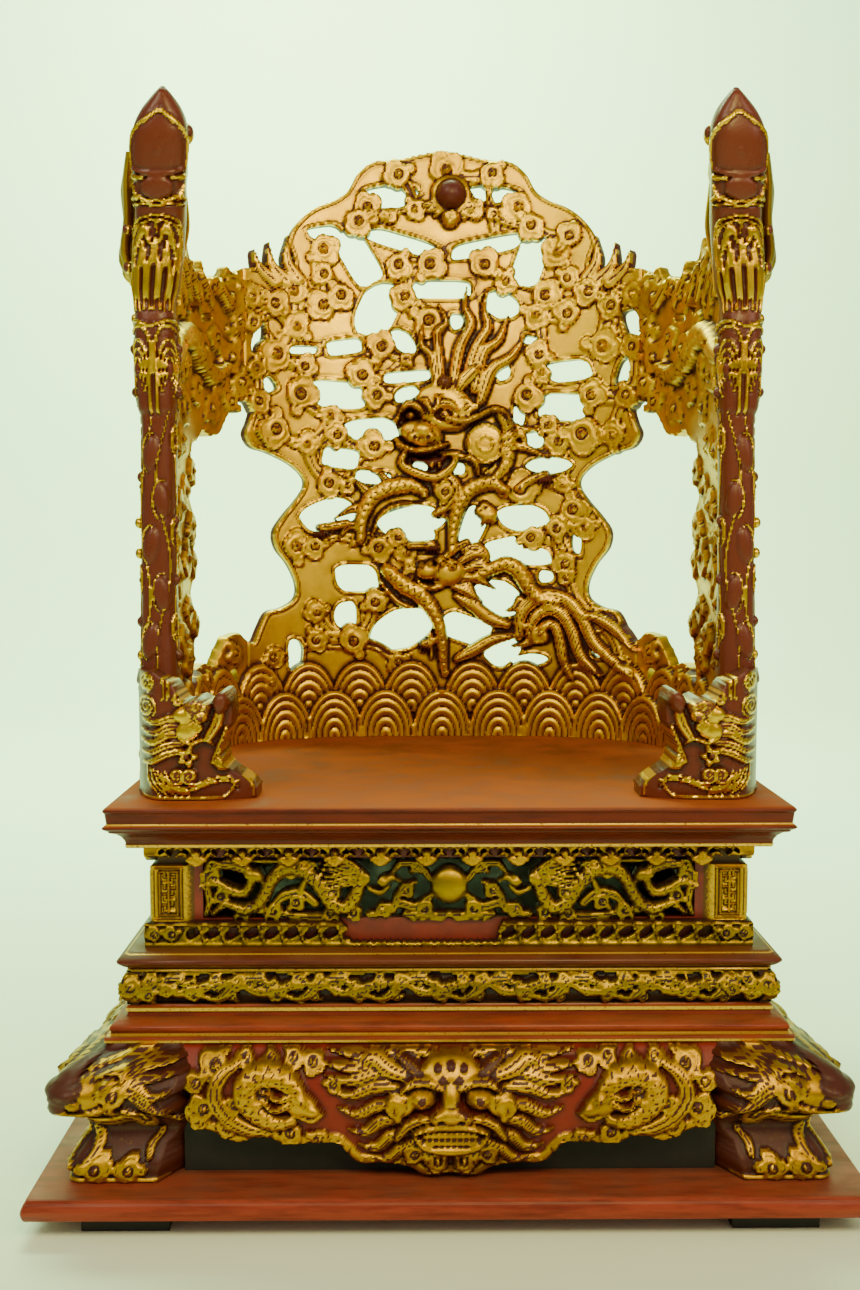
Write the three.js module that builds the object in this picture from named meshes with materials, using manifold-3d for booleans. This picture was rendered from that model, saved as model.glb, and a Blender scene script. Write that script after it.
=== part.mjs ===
// A carved, lacquered and gilded altar throne, in millimetres, +Z up.
//
// From the floor up: a plinth board on four blocks, four beast legs with
// carved aprons between them, mouldings with a scroll band, a pierced waist,
// the seat board, and on it a pierced screen that curves round the sitter.
// The screen's two arms end in posts with a dragon's head and a beast's foot.
//
// The origin is the middle of the footprint, on the floor. X is to the right
// of someone who faces the throne, and -Y is its front.

import * as THREE from 'three';
import { mergeVertices } from 'three/addons/utils/BufferGeometryUtils.js';
import Module from 'manifold-3d';

const wasm = await Module();
wasm.setup();

// ---------------------------------------------------------------- dimensions

const GAP = 0.3; // clearance between pieces that touch
const SIDE_CUT = 75; // every board is this much less deep than wide, each half

const SEAT_TOP = 414;
const FOOT = { height: 20, inner: 279, outer: 366, depth: 60 };
const PLINTH = { top: 42, half: 420 };
const LEG_TOP = 172;
const RISER = { top: 128, inner: 344, outer: 356, half: 270 };
const LOWER_TOP = 206;
const BAND = { top: 240, inner: 318 };
const MIDDLE_TOP = 261;
const WAIST = { rail_top: 286, post_top: 347, outer: 314, post: 310, post_side: 36 };
const WAIST_FRAME = { outer: 301.7, inner: 288, sill: 288, head: 352, stile: 17 };
const SEAT_BOTTOM = 369;

// The screen and arms are one bent sheet. In plan its middle line is a
// superellipse behind SHEET.centre_y and straight in front of it.
const SHEET = { half_x: 314, half_y: 238, power: 3, centre_y: -10 };
const SHEET_FRONT = 6; // the sheet's inner face, from the middle line
const SHEET_BACK = -12; // its outer face
const RELIEF = 8; // how far the carving stands off the sheet's face
const SEAM = 275; // where the arms join the screen, measured along the sheet
const ARM_END = 613; // the arms run to here, where the posts' backs cut them


const COLOURS = {
  red: 0x8c2b1c,
  dark: 0x1d1712,
  seat: 0x93451f,
  gold: 0xc79a2b,
  maroon: 0x5b2320,
};

function finish(colour, roughness, metalness) {
  return new THREE.MeshStandardMaterial({ color: colour, roughness, metalness });
}

const FINISHES = {
  red_lacquer: finish(COLOURS.red, 0.4, 0),
  dark_wood: finish(COLOURS.dark, 0.8, 0),
  seat_lacquer: finish(COLOURS.seat, 0.35, 0),
  gilding: finish(COLOURS.gold, 0.4, 0.6),
  maroon_lacquer: finish(COLOURS.maroon, 0.35, 0),
};

const throne = new THREE.Group();

function addPiece(name, geometry, slot) {
  const mesh = new THREE.Mesh(geometry, FINISHES[slot]);
  mesh.name = name;
  throne.add(mesh);
}

// -------------------------------------------------------------- solid helpers

function bare(geometry) {
  const copy = new THREE.BufferGeometry();
  copy.setAttribute('position', geometry.getAttribute('position').clone());
  if (geometry.index) copy.setIndex(geometry.index.clone());
  return mergeVertices(copy, 1e-4);
}

function toSolid(geometry) {
  const merged = bare(geometry);
  const mesh = new wasm.Mesh({
    numProp: 3,
    vertProperties: new Float32Array(merged.getAttribute('position').array),
    triVerts: new Uint32Array(merged.index.array),
  });
  return new wasm.Manifold(mesh);
}

function toGeometry(solid) {
  const mesh = solid.getMesh();
  const geometry = new THREE.BufferGeometry();
  const positions = new Float32Array(mesh.vertProperties);
  geometry.setAttribute('position', new THREE.BufferAttribute(positions, 3));
  geometry.setIndex(Array.from(mesh.triVerts));
  return geometry;
}

// The largest of the separate bodies that a cut leaves.
function largest(solid) {
  return solid.decompose().reduce((best, one) => (one.volume() > best.volume() ? one : best));
}

function join(geometries) {
  return geometries.map(toSolid).reduce((all, one) => all.add(one));
}

// A closed skin over rings of points. The rings go upwards, and each runs
// anticlockwise as seen from above.
function loft(rings) {
  const count = rings[0].length;
  const positions = rings.flat().flatMap((p) => [p.x, p.y, p.z]);
  const index = [];
  for (let k = 0; k < rings.length - 1; k += 1) {
    for (let i = 0; i < count; i += 1) {
      const a = k * count + i;
      const b = k * count + ((i + 1) % count);
      index.push(a, b, b + count, a, b + count, a + count);
    }
  }
  const last = (rings.length - 1) * count;
  const flat = (ring) => ring.map((p) => new THREE.Vector2(p.x, p.y));
  for (const [a, b, c] of THREE.ShapeUtils.triangulateShape(flat(rings[0]), [])) {
    index.push(a, c, b);
  }
  for (const [a, b, c] of THREE.ShapeUtils.triangulateShape(flat(rings.at(-1)), [])) {
    index.push(last + a, last + b, last + c);
  }
  const geometry = new THREE.BufferGeometry();
  geometry.setAttribute('position', new THREE.Float32BufferAttribute(positions, 3));
  geometry.setIndex(index);
  return geometry;
}

// Cuts every triangle where it crosses the planes axis = value, so that the
// mesh can be bent there.
function cutTriangles(geometry, axis, values) {
  const source = bare(geometry);
  const points = [];
  const array = source.getAttribute('position').array;
  for (let i = 0; i < array.length; i += 3) points.push([array[i], array[i + 1], array[i + 2]]);
  let triangles = [];
  const index = source.index.array;
  for (let i = 0; i < index.length; i += 3) triangles.push([index[i], index[i + 1], index[i + 2]]);
  for (const value of values) {
    const cuts = new Map();
    const side = points.map((p) => (Math.abs(p[axis] - value) < 1e-3 ? 0 : Math.sign(p[axis] - value)));
    const cut = (a, b) => {
      const key = a < b ? `${a}_${b}` : `${b}_${a}`;
      if (!cuts.has(key)) {
        const t = (value - points[a][axis]) / (points[b][axis] - points[a][axis]);
        cuts.set(key, points.length);
        points.push(points[a].map((v, k) => v + (points[b][k] - v) * t));
      }
      return cuts.get(key);
    };
    const next = [];
    for (const [a, b, c] of triangles) {
      const turns = [[a, b, c], [b, c, a], [c, a, b]];
      const three = [side[a], side[b], side[c]];
      if (!(three.includes(1) && three.includes(-1))) {
        next.push([a, b, c]);
      } else if (three.includes(0)) {
        const [p, q, r] = turns[three.indexOf(0)];
        const m = cut(q, r);
        next.push([p, q, m], [p, m, r]);
      } else {
        const lone = three.findIndex((s, i) => s !== three[(i + 1) % 3] && s !== three[(i + 2) % 3]);
        const [p, q, r] = turns[lone];
        const m = cut(p, q);
        const n = cut(r, p);
        next.push([p, m, n], [m, q, r], [m, r, n]);
      }
    }
    triangles = next;
  }
  const result = new THREE.BufferGeometry();
  result.setAttribute('position', new THREE.Float32BufferAttribute(points.flat(), 3));
  result.setIndex(triangles.flat());
  return result;
}

function movePoints(geometry, move) {
  const position = geometry.getAttribute('position');
  for (let i = 0; i < position.count; i += 1) {
    const [x, y, z] = move(position.getX(i), position.getY(i), position.getZ(i));
    position.setXYZ(i, x, y, z);
  }
  return geometry;
}

// ----------------------------------------------------------- simple 2-D forms

function prism(points, low, high) {
  const shape = new THREE.Shape(points.map(([x, y]) => new THREE.Vector2(x, y)));
  const options = { depth: high - low, bevelEnabled: false, curveSegments: 8 };
  return new THREE.ExtrudeGeometry(shape, options).translate(0, 0, low);
}

const THROUGH = [-40, 40]; // from far behind to far in front of a panel

function rectangle(half, low, high) {
  return [[-half, low], [half, low], [half, high], [-half, high]];
}

// An oval with flattened sides: power 2 is an ellipse, larger is squarer.
function oval(x, y, length, height, tilt, sides = 6, power = 2.6) {
  const points = [];
  const turn = THREE.MathUtils.degToRad(tilt);
  for (let i = 0; i < sides; i += 1) {
    const a = ((i + 0.5) / sides) * Math.PI * 2;
    const c = Math.cos(a);
    const s = Math.sin(a);
    const u = (length / 2) * Math.sign(c) * Math.abs(c) ** (2 / power);
    const v = (height / 2) * Math.sign(s) * Math.abs(s) ** (2 / power);
    points.push([x + u * Math.cos(turn) - v * Math.sin(turn), y + u * Math.sin(turn) + v * Math.cos(turn)]);
  }
  return points;
}

function mound(x, y, low, high, radius, top = 0.5, sides = 5) {
  return new THREE.CylinderGeometry(radius * top, radius, high - low, sides)
    .rotateX(Math.PI / 2)
    .translate(x, y, (low + high) / 2);
}

function lump(x, y, z, rx, ry, rz, detail = 0) {
  return new THREE.IcosahedronGeometry(1, detail).scale(rx, ry, rz).translate(x, y, z);
}

function tube(points, radius, steps, sides = 5) {
  const path = new THREE.CatmullRomCurve3(points.map((p) => new THREE.Vector3(...p)));
  const corners = oval(0, 0, 2 * radius, 2 * radius, 0, sides, 2);
  const section = new THREE.Shape(corners.map(([x, y]) => new THREE.Vector2(x, y)));
  const options = { extrudePath: path, steps, bevelEnabled: false };
  return new THREE.ExtrudeGeometry(section, options);
}

// ---------------------------------------------------------- boards and blocks

// A rectangular board whose edge follows profile, a list of [half width, z]
// from the bottom up. Its half depth is SIDE_CUT less than its half width.
function mouldedBoard(profile) {
  return loft(profile.map(([w, z]) => {
    const d = w - SIDE_CUT;
    return [[-w, -d], [w, -d], [w, d], [-w, d]].map(([x, y]) => new THREE.Vector3(x, y, z));
  }));
}

// Points of a round edge that swells from [w0, z0] by out and ends at [w1, z1].
function roundEdge(w0, z0, w1, z1, out, steps = 6) {
  const points = [];
  for (let i = 0; i <= steps; i += 1) {
    const t = i / steps;
    points.push([w0 + (w1 - w0) * t + out * Math.sin(Math.PI * t), z0 + (z1 - z0) * t]);
  }
  return points;
}

function block(x0, x1, y0, y1, z0, z1) {
  return new THREE.BoxGeometry(x1 - x0, y1 - y0, z1 - z0)
    .translate((x0 + x1) / 2, (y0 + y1) / 2, (z0 + z1) / 2);
}

const CORNERS = [
  ['front_left', -1, -1],
  ['front_right', 1, -1],
  ['back_left', -1, 1],
  ['back_right', 1, 1],
];

// The four sides: a panel is made facing -Y, then turned about the origin.
// narrow says that the side is a left or right one.
const SIDES = [
  { name: 'front', turn: 0, narrow: false },
  { name: 'back', turn: Math.PI, narrow: false },
  { name: 'left', turn: -Math.PI / 2, narrow: true },
  { name: 'right', turn: Math.PI / 2, narrow: true },
];

// Stands a panel drawn in x and y = height, with its thickness towards the
// viewer, at the given half width of the base, on one of the four sides.
function standPanel(geometry, half_width, side) {
  const reach = side.narrow ? half_width : half_width - SIDE_CUT;
  return geometry.rotateX(Math.PI / 2).translate(0, -reach, 0).rotateZ(side.turn);
}

function sideLength(half_width, side) {
  return side.narrow ? half_width - SIDE_CUT : half_width;
}

// ---------------------------------------------------------------- the plinth

function addPlinth() {
  const edge = [
    [PLINTH.half - 6, FOOT.height + GAP],
    ...roundEdge(PLINTH.half - 2, FOOT.height + 2, PLINTH.half - 3, PLINTH.top - 5, 2.5, 4),
    [PLINTH.half - 4.5, PLINTH.top - 3.5],
    [PLINTH.half - 6, PLINTH.top],
  ];
  addPiece('plinth_board', mouldedBoard(edge), 'red_lacquer');
  for (const [corner, sx, sy] of CORNERS) {
    const y1 = FOOT.outer - SIDE_CUT + 30;
    const x = [sx * FOOT.inner, sx * FOOT.outer].sort((a, b) => a - b);
    const y = [sy * (y1 - FOOT.depth), sy * y1].sort((a, b) => a - b);
    addPiece(`plinth_foot_${corner}`, block(...x, ...y, 0, FOOT.height), 'dark_wood');
  }
}

// ------------------------------------------------------- legs and their apron

// How far out the face of a knee stands at a height, as a half width.
const KNEE = [[42, 372], [60, 374], [80, 376], [105, 377], [125, 376], [145, 371], [160, 362], [172, 352]];

function knee(z) {
  const i = Math.max(1, KNEE.findIndex(([height]) => height >= z));
  const [z0, w0] = KNEE[i - 1];
  const [z1, w1] = KNEE[i];
  return w0 + ((w1 - w0) * (z - z0)) / (z1 - z0);
}

// Rows of a leg: height, reach of its outer corner, and its inner end.
const LEG_ROWS = [
  [42.3, 380, 296], [60, 379, 292], [76, 369, 287], [90, 362, 275], [108, 370, 273],
  [118, 388, 280], [128, 390, 289], [140, 389, 275], [156, 376, 273], [171.7, 350, 273],
];
const LEG_THICKNESS = 42;

function addLegs() {
  for (const [corner, sx, sy] of CORNERS) {
    const rings = LEG_ROWS.map(([z, reach, inner]) => {
      const x = reach;
      const y = reach - SIDE_CUT;
      const round = 14;
      const ring = [
        [inner, y], [x - round, y], [x, y - round], [x, inner - SIDE_CUT],
        [x - LEG_THICKNESS, inner - SIDE_CUT], [x - LEG_THICKNESS, y - LEG_THICKNESS],
        [inner, y - LEG_THICKNESS],
      ].map(([px, py]) => new THREE.Vector3(px * sx, py * sy, z));
      return sx * sy > 0 ? ring.reverse() : ring;
    });
    // The beast's snout, brow and cheek stand out from the corner.
    const at = (out, along, z, rx, ry, rz) => {
      const x = sx * (out + along);
      const y = sy * (out - SIDE_CUT - along);
      return lump(x, y, z, rx, ry, rz);
    };
    const parts = [
      at(374, 0, 138, 18, 18, 12),
      at(366, -24, 146, 14, 14, 11),
      at(366, 24, 146, 14, 14, 11),
    ];
    const solid = parts.map(toSolid).reduce((all, one) => all.add(one), toSolid(loft(rings)));
    addPiece(`leg_${corner}`, toGeometry(solid), 'gilding');
  }
}

// Lower edge of half an apron, from the leg to the middle: part of the half
// length, and height.
const APRON_EDGE = [
  [1, 139], [0.96, 131], [0.98, 114], [0.95, 98], [0.885, 95], [0.79, 83], [0.69, 90],
  [0.61, 80], [0.48, 83], [0.41, 80], [0.345, 61], [0.25, 60], [0.16, 56], [0.09, 46], [0, 49],
];
const APRON = { half: 270.5, thickness: 15, bends: [105, 145, 160] };

function addAprons() {
  for (const side of SIDES) {
    const half = sideLength(APRON.half, side);
    const left = APRON_EDGE.map(([part, z]) => [-part * half, z]);
    const right = APRON_EDGE.slice(0, -1).reverse().map(([part, z]) => [part * half, z]);
    const outline = [...left, ...right, [half, LEG_TOP - GAP], [-half, LEG_TOP - GAP]];
    const board = toSolid(prism(outline, -APRON.thickness, 0));
    // The carving: a beast's mask in the middle and a dragon on each side.
    const mask = [
      mound(0, 112, -4, 13, 50, 0.7, 8).scale(1.25, 1, 1),
      lump(0, 132, 8, 26, 26, 14),
      lump(0, 104, 8, 40, 16, 14),
    ];
    const dragons = [
      mound(-0.46 * half, 116, -4, 8, 28, 0.6),
      mound(0.46 * half, 116, -4, 8, 28, 0.6),
      mound(-0.76 * half, 134, -4, 8, 26, 0.6),
      mound(0.76 * half, 134, -4, 8, 26, 0.6),
    ];
    const box = toSolid(block(-half, half, 46, LEG_TOP - GAP, -APRON.thickness, 40));
    const carving = side.name === 'front' ? [...mask, ...dragons] : mask.slice(0, 1);
    const solid = board.add(join(carving).intersect(box));
    const bent = cutTriangles(toGeometry(solid), 1, APRON.bends);
    movePoints(bent, (x, y, z) => [x, y, z + knee(y)]);
    addPiece(`apron_${side.name}`, standPanel(bent, 0, side), 'gilding');
    const riser_half = sideLength(RISER.half, side);
    const riser = prism(
      rectangle(riser_half, PLINTH.top + GAP, RISER.top),
      RISER.inner - RISER.outer,
      0,
    );
    addPiece(`riser_${side.name}`, standPanel(riser, RISER.outer, side), 'dark_wood');
  }
}

// ------------------------------------------------------------------ mouldings

function addMouldings() {
  addPiece('lower_moulding', mouldedBoard([
    [350, LEG_TOP], [351.5, 174], [351.5, 179], [347, 180.5],
    ...roundEdge(345, 182, 339, 193, 4),
    [332, 194.5], [331, 198], [333, 200], [333, 203], [331, 204.5], [331, LOWER_TOP],
  ]), 'red_lacquer');
  addPiece('middle_moulding', mouldedBoard([
    [331, BAND.top + GAP], [332, 242], [331, 244.5],
    ...roundEdge(333, 245, 332, 260, 8.5, 8),
    [330, MIDDLE_TOP],
  ]), 'red_lacquer');
  addPiece('seat_board', mouldedBoard([
    [330, SEAT_BOTTOM + GAP], [331, 373], [330.5, 373.5],
    [331.5, 377], [335, 382], [340, 386], [345, 388], [345, 389.5],
    ...roundEdge(347, 390, 347, 396, 3, 3),
    [346.5, 396.5], [347.5, 407.5],
    ...roundEdge(348, 408, 347.5, SEAT_TOP, 2, 3),
  ]), 'seat_lacquer');
}

// Half width of the scroll band's outer face at a height.
const BAND_FACE = [[206, 331], [212, 335], [219, 337], [230, 335], [240, 330]];

function addScrollBand() {
  for (const side of SIDES) {
    const half = side.narrow ? BAND.inner - SIDE_CUT - GAP : null;
    const low = LOWER_TOP + GAP;
    const high = BAND.top - GAP / 2;
    const rows = BAND_FACE.map(([z, w]) => [THREE.MathUtils.clamp(z, low, high), w]);
    // The front and back strips run to the corners; the side ones stop at them.
    const rings = rows.map(([z, w]) => {
      const end = side.narrow ? half : w;
      const face = side.narrow ? w : w - SIDE_CUT;
      const back = side.narrow ? BAND.inner : BAND.inner - SIDE_CUT;
      return [[-end, -face], [end, -face], [end, -back], [-end, -back]]
        .map(([x, y]) => new THREE.Vector3(x, y, z));
    });
    addPiece(`scroll_band_${side.name}`, loft(rings).rotateZ(side.turn), 'gilding');
  }
}

// ------------------------------------------------------------------ the waist

const LAPPET = 47.5; // spacing of the valance's hearts and of its pendants

function addWaistPosts() {
  for (const [corner, sx, sy] of CORNERS) {
    const box = (w0, w1, z0, z1) => {
      const x = [sx * w0, sx * w1].sort((a, b) => a - b);
      const y = [sy * (w0 - SIDE_CUT), sy * (w1 - SIDE_CUT)].sort((a, b) => a - b);
      return toSolid(block(...x, ...y, z0, z1));
    };
    const inner = WAIST.post - WAIST.post_side;
    const core = box(inner, WAIST_FRAME.outer, MIDDLE_TOP + GAP, SEAT_BOTTOM);
    const shaft = box(inner, WAIST.post, WAIST.rail_top + GAP, WAIST.post_top - GAP);
    addPiece(`waist_post_${corner}`, toGeometry(core.add(shaft)), 'gilding');
  }
}

// Openings between the dragons of half a waist panel: part of the half
// length, height above the panel's middle, length, height and tilt.
const PANEL_HOLES = [
  [0.12, 20, 28, 11, 0], [0.15, -22, 32, 10, 0], [0.34, 10, 32, 14, 30], [0.5, -18, 28, 12, 10],
  [0.62, 12, 30, 16, -30], [0.76, -16, 30, 12, -10], [0.88, 8, 20, 28, 10],
];

const WAIST_PANEL = { thickness: 11, sunk: 2, pearl: 17 };

function addWaistPanels() {
  const middle = (WAIST_FRAME.sill + WAIST_FRAME.head) / 2;
  for (const side of SIDES) {
    const post_inner = sideLength(WAIST.post - WAIST.post_side, side);
    const window_half = post_inner - WAIST_FRAME.stile;
    const frame = toSolid(prism(
      rectangle(post_inner - GAP, MIDDLE_TOP + GAP, SEAT_BOTTOM - GAP),
      WAIST_FRAME.inner - WAIST_FRAME.outer,
      0,
    )).subtract(toSolid(prism(rectangle(window_half, WAIST_FRAME.sill, WAIST_FRAME.head), ...THROUGH)));
    addPiece(
      `waist_frame_${side.name}`,
      standPanel(toGeometry(frame), WAIST_FRAME.outer, side),
      'red_lacquer',
    );
    const x = window_half - GAP;
    let panel = toSolid(prism(
      rectangle(x, WAIST_FRAME.sill + GAP, WAIST_FRAME.head - GAP),
      -WAIST_PANEL.thickness,
      0,
    ));
    for (const [part, rise, length, height, tilt] of PANEL_HOLES) {
      for (const sign of [-1, 1]) {
        const reach = length * (side.narrow ? 0.8 : 1);
        const hole = oval(sign * part * x, middle + rise, reach, height, sign * tilt, 5);
        panel = panel.subtract(toSolid(prism(hole, ...THROUGH)));
      }
    }
    const pearl = mound(0, middle + 4, -4, 8, WAIST_PANEL.pearl, 0.6, 8);
    panel = panel.add(toSolid(pearl));
    const face = WAIST_FRAME.outer - WAIST_PANEL.sunk;
    addPiece(`waist_panel_${side.name}`, standPanel(toGeometry(panel), face, side), 'gilding');
  }
}

const VALANCE = { top: 368.7, shoulder: 356, pendant: 347.3, thickness: 11 };
const RAIL_BREAK = [-106, 52]; // the front rail's openwork is lost between these

function addValancesAndRails() {
  const back_face = WAIST.outer - VALANCE.thickness;
  for (const side of SIDES) {
    const half = side.narrow ? back_face - SIDE_CUT - GAP : WAIST.outer;
    const count = Math.floor((half - 8) / LAPPET + 0.5);
    const edge = [];
    for (let k = -count; k < count; k += 1) {
      const x = (k + 0.5) * LAPPET;
      edge.push([x - 10, VALANCE.shoulder], [x, VALANCE.pendant], [x + 10, VALANCE.shoulder]);
    }
    const outline = [
      [-half, VALANCE.shoulder], ...edge, [half, VALANCE.shoulder], [half, VALANCE.top], [-half, VALANCE.top],
    ];
    addPiece(
      `valance_${side.name}`,
      standPanel(prism(outline, -VALANCE.thickness, 0), WAIST.outer, side),
      'gilding',
    );
    // The lower rail: on the front its openwork is broken away in the middle,
    // down to the sill that it grew from.
    const low = MIDDLE_TOP + GAP;
    const high = WAIST.rail_top;
    const lost = side.name === 'front'
      ? [[RAIL_BREAK[1], high], [RAIL_BREAK[1] - 6, low + 4], [RAIL_BREAK[0] + 8, low + 4], [RAIL_BREAK[0], high]]
      : [];
    const rail = [[-half, low], [half, low], [half, high], ...lost, [-half, high]];
    addPiece(
      `lower_rail_${side.name}`,
      standPanel(prism(rail, -VALANCE.thickness, 0), WAIST.outer, side),
      'gilding',
    );
  }
}

// -------------------------------------------------------- the screen and arms

// The sheet's middle line in plan for s >= 0: s, x and y at many steps.
const PLAN = (() => {
  const rows = [[0, 0, SHEET.centre_y + SHEET.half_y]];
  const steps = 1200;
  for (let i = 1; i <= steps; i += 1) {
    const t = (i / steps) * (Math.PI / 2);
    const x = SHEET.half_x * Math.sin(t) ** (2 / SHEET.power);
    const y = SHEET.centre_y + SHEET.half_y * Math.max(0, Math.cos(t)) ** (2 / SHEET.power);
    const [s0, x0, y0] = rows.at(-1);
    rows.push([s0 + Math.hypot(x - x0, y - y0), x, y]);
  }
  const [s0, x0, y0] = rows.at(-1);
  rows.push([s0 + 400, x0, y0 - 400]);
  return rows;
})();

// Place and inward direction on the middle line at distance s from the centre.
function plan(s) {
  const a = Math.abs(s);
  const at = (d) => {
    let low = 0;
    let high = PLAN.length - 1;
    while (high - low > 1) {
      const mid = (low + high) >> 1;
      if (PLAN[mid][0] <= d) low = mid;
      else high = mid;
    }
    const [s0, x0, y0] = PLAN[low];
    const [s1, x1, y1] = PLAN[high];
    const t = (d - s0) / (s1 - s0);
    return [x0 + (x1 - x0) * t, y0 + (y1 - y0) * t];
  };
  const [x, y] = at(a);
  const [xa, ya] = at(Math.max(0, a - 4));
  const [xb, yb] = at(a + 4);
  const length = Math.hypot(xb - xa, yb - ya);
  const mirror = s < 0 ? -1 : 1;
  return { x: x * mirror, y, nx: (mirror * (yb - ya)) / length, ny: -(xb - xa) / length };
}

// Where the middle line has turned through each multiple of step degrees.
function turningPlaces(step) {
  const places = [];
  let next = step / 2;
  for (let s = 2; s < 470; s += 2) {
    const { nx, ny } = plan(s);
    const turned = THREE.MathUtils.radToDeg(Math.atan2(-nx, -ny));
    if (turned >= next) {
      places.push(s);
      next += step;
    }
  }
  return places;
}

// Bends flat work, drawn in s, height and thickness, round the plan line.
function bend(geometry, low, high) {
  const places = turningPlaces(20).flatMap((s) => [-s, s]).filter((s) => s > low && s < high);
  const cut = cutTriangles(geometry, 0, places);
  return movePoints(cut, (s, z, w) => {
    const { x, y, nx, ny } = plan(s);
    return [x + w * nx, y + w * ny, z];
  });
}

// Right half of the screen's outline from its top to the arm, and from the
// arm's underside down to the waves: s and height.
const CROWN = [
  [0, 1203], [30, 1197], [62, 1190], [92, 1187], [113, 1171], [126, 1149], [143, 1136],
  [172, 1123], [196, 1102], [207, 1078], [200, 1056], [199, 1037],
];
const SHOULDER = [[199, 1037], [225, 1034], [250, 1040], [SEAM, 1036]];
const FLANK = [
  [SEAM, 866], [262, 856], [266, 838], [272, 822], [262, 806], [238, 799], [210, 786],
  [192, 770], [189, 755], [200, 737], [219, 714], [231, 694], [228, 672], [212, 650],
  [201, 624], [203, 604], [220, 592], [242, 586], [254, 566], [264, 546], [SEAM, 549],
];

// Openings of the screen: s, height, length, height and tilt.
const SLOTS = [
  // right of the middle
  [64, 1146, 64, 15, -2], [60, 1077, 84, 17, 12], [119, 1057, 62, 32, 68], [0, 1020, 70, 18, 0],
  [80, 1000, 42, 24, -20],
  [172, 910, 54, 21, 0], [167, 862, 60, 27, 0], [126, 820, 23, 18, 20],
  [262, 962, 22, 40, 20], [248, 900, 18, 36, -10],
  [146, 784, 50, 15, 0], [112, 713, 58, 24, -5], [42, 700, 28, 48, -20],
  [85, 667, 48, 27, 15], [128, 660, 38, 17, -5],
  [77, 603, 58, 36, -20], [32, 561, 60, 30, -15], [84, 530, 40, 26, 30], [121, 518, 40, 12, 5],
  // left of the middle
  [-67, 1148, 58, 14, 3], [-56, 1083, 80, 16, -14], [-158, 1093, 38, 13, 5], [-113, 1062, 70, 34, -58],
  [-86, 994, 66, 40, 55], [-52, 951, 34, 17, -45], [-132, 943, 42, 15, 8],
  [-47, 904, 56, 12, 5], [-142, 879, 64, 27, -8], [-95, 832, 60, 23, 0],
  [-252, 948, 15, 34, -15],
  [-138, 794, 44, 20, -5], [-94, 768, 42, 13, -5], [-155, 717, 64, 29, 12],
  [-42, 708, 74, 31, 8], [-117, 631, 50, 27, -8], [-132, 580, 28, 27, 0], [-55, 561, 74, 40, 20],
  [-203, 527, 19, 35, 0],
];

// Cloud curls: s, height and radius.
const CURLS = [
  [6, 1176, 20], [103, 1127, 18], [157, 1067, 18], [58, 1052, 18], [140, 1010, 18], [220, 940, 21],
  [116, 878, 18], [204, 876, 18], [192, 825, 22], [108, 752, 21], [180, 724, 18], [-160, 1070, 18],
  [-202, 1013, 18], [-161, 997, 18], [-198, 967, 17], [-16, 1052, 18], [-18, 978, 19], [-82, 943, 17],
  [-226, 930, 20], [-108, 905, 18], [-193, 878, 20], [-230, 830, 20], [-92, 810, 18], [-200, 674, 18],
  [-122, 545, 18],
];

const WAVE = { spacing: 72, half: 41, low_top: 478, high_top: 517, high_rise: 38 };

// Two rows of overlapping waves stand on the seat between low and high.
function waves(low, high) {
  const parts = [];
  const add = (s, base, top, thickness) => {
    const points = [];
    for (let i = 0; i <= 5; i += 1) {
      const a = (i / 5) * Math.PI;
      points.push([s + WAVE.half * Math.cos(a), base + (top - base) * Math.sin(a)]);
    }
    parts.push(prism(points, 0, thickness));
  };
  for (let k = -9; k <= 9; k += 1) {
    const lower = k * WAVE.spacing + Math.sign(k) * 6;
    const upper = (k + 0.5) * WAVE.spacing + Math.sign(k + 0.5) * 6;
    if (lower > low - 30 && lower < high + 30) add(lower, SEAT_TOP + GAP, WAVE.low_top, SHEET_FRONT + 10);
    if (upper > low - 30 && upper < high + 30) {
      add(upper, SEAT_TOP + WAVE.high_rise, WAVE.high_top, SHEET_FRONT + 5);
    }
  }
  return parts;
}

function mirrored(points) {
  return points.map(([s, z]) => [-s, z]).reverse();
}

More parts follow.
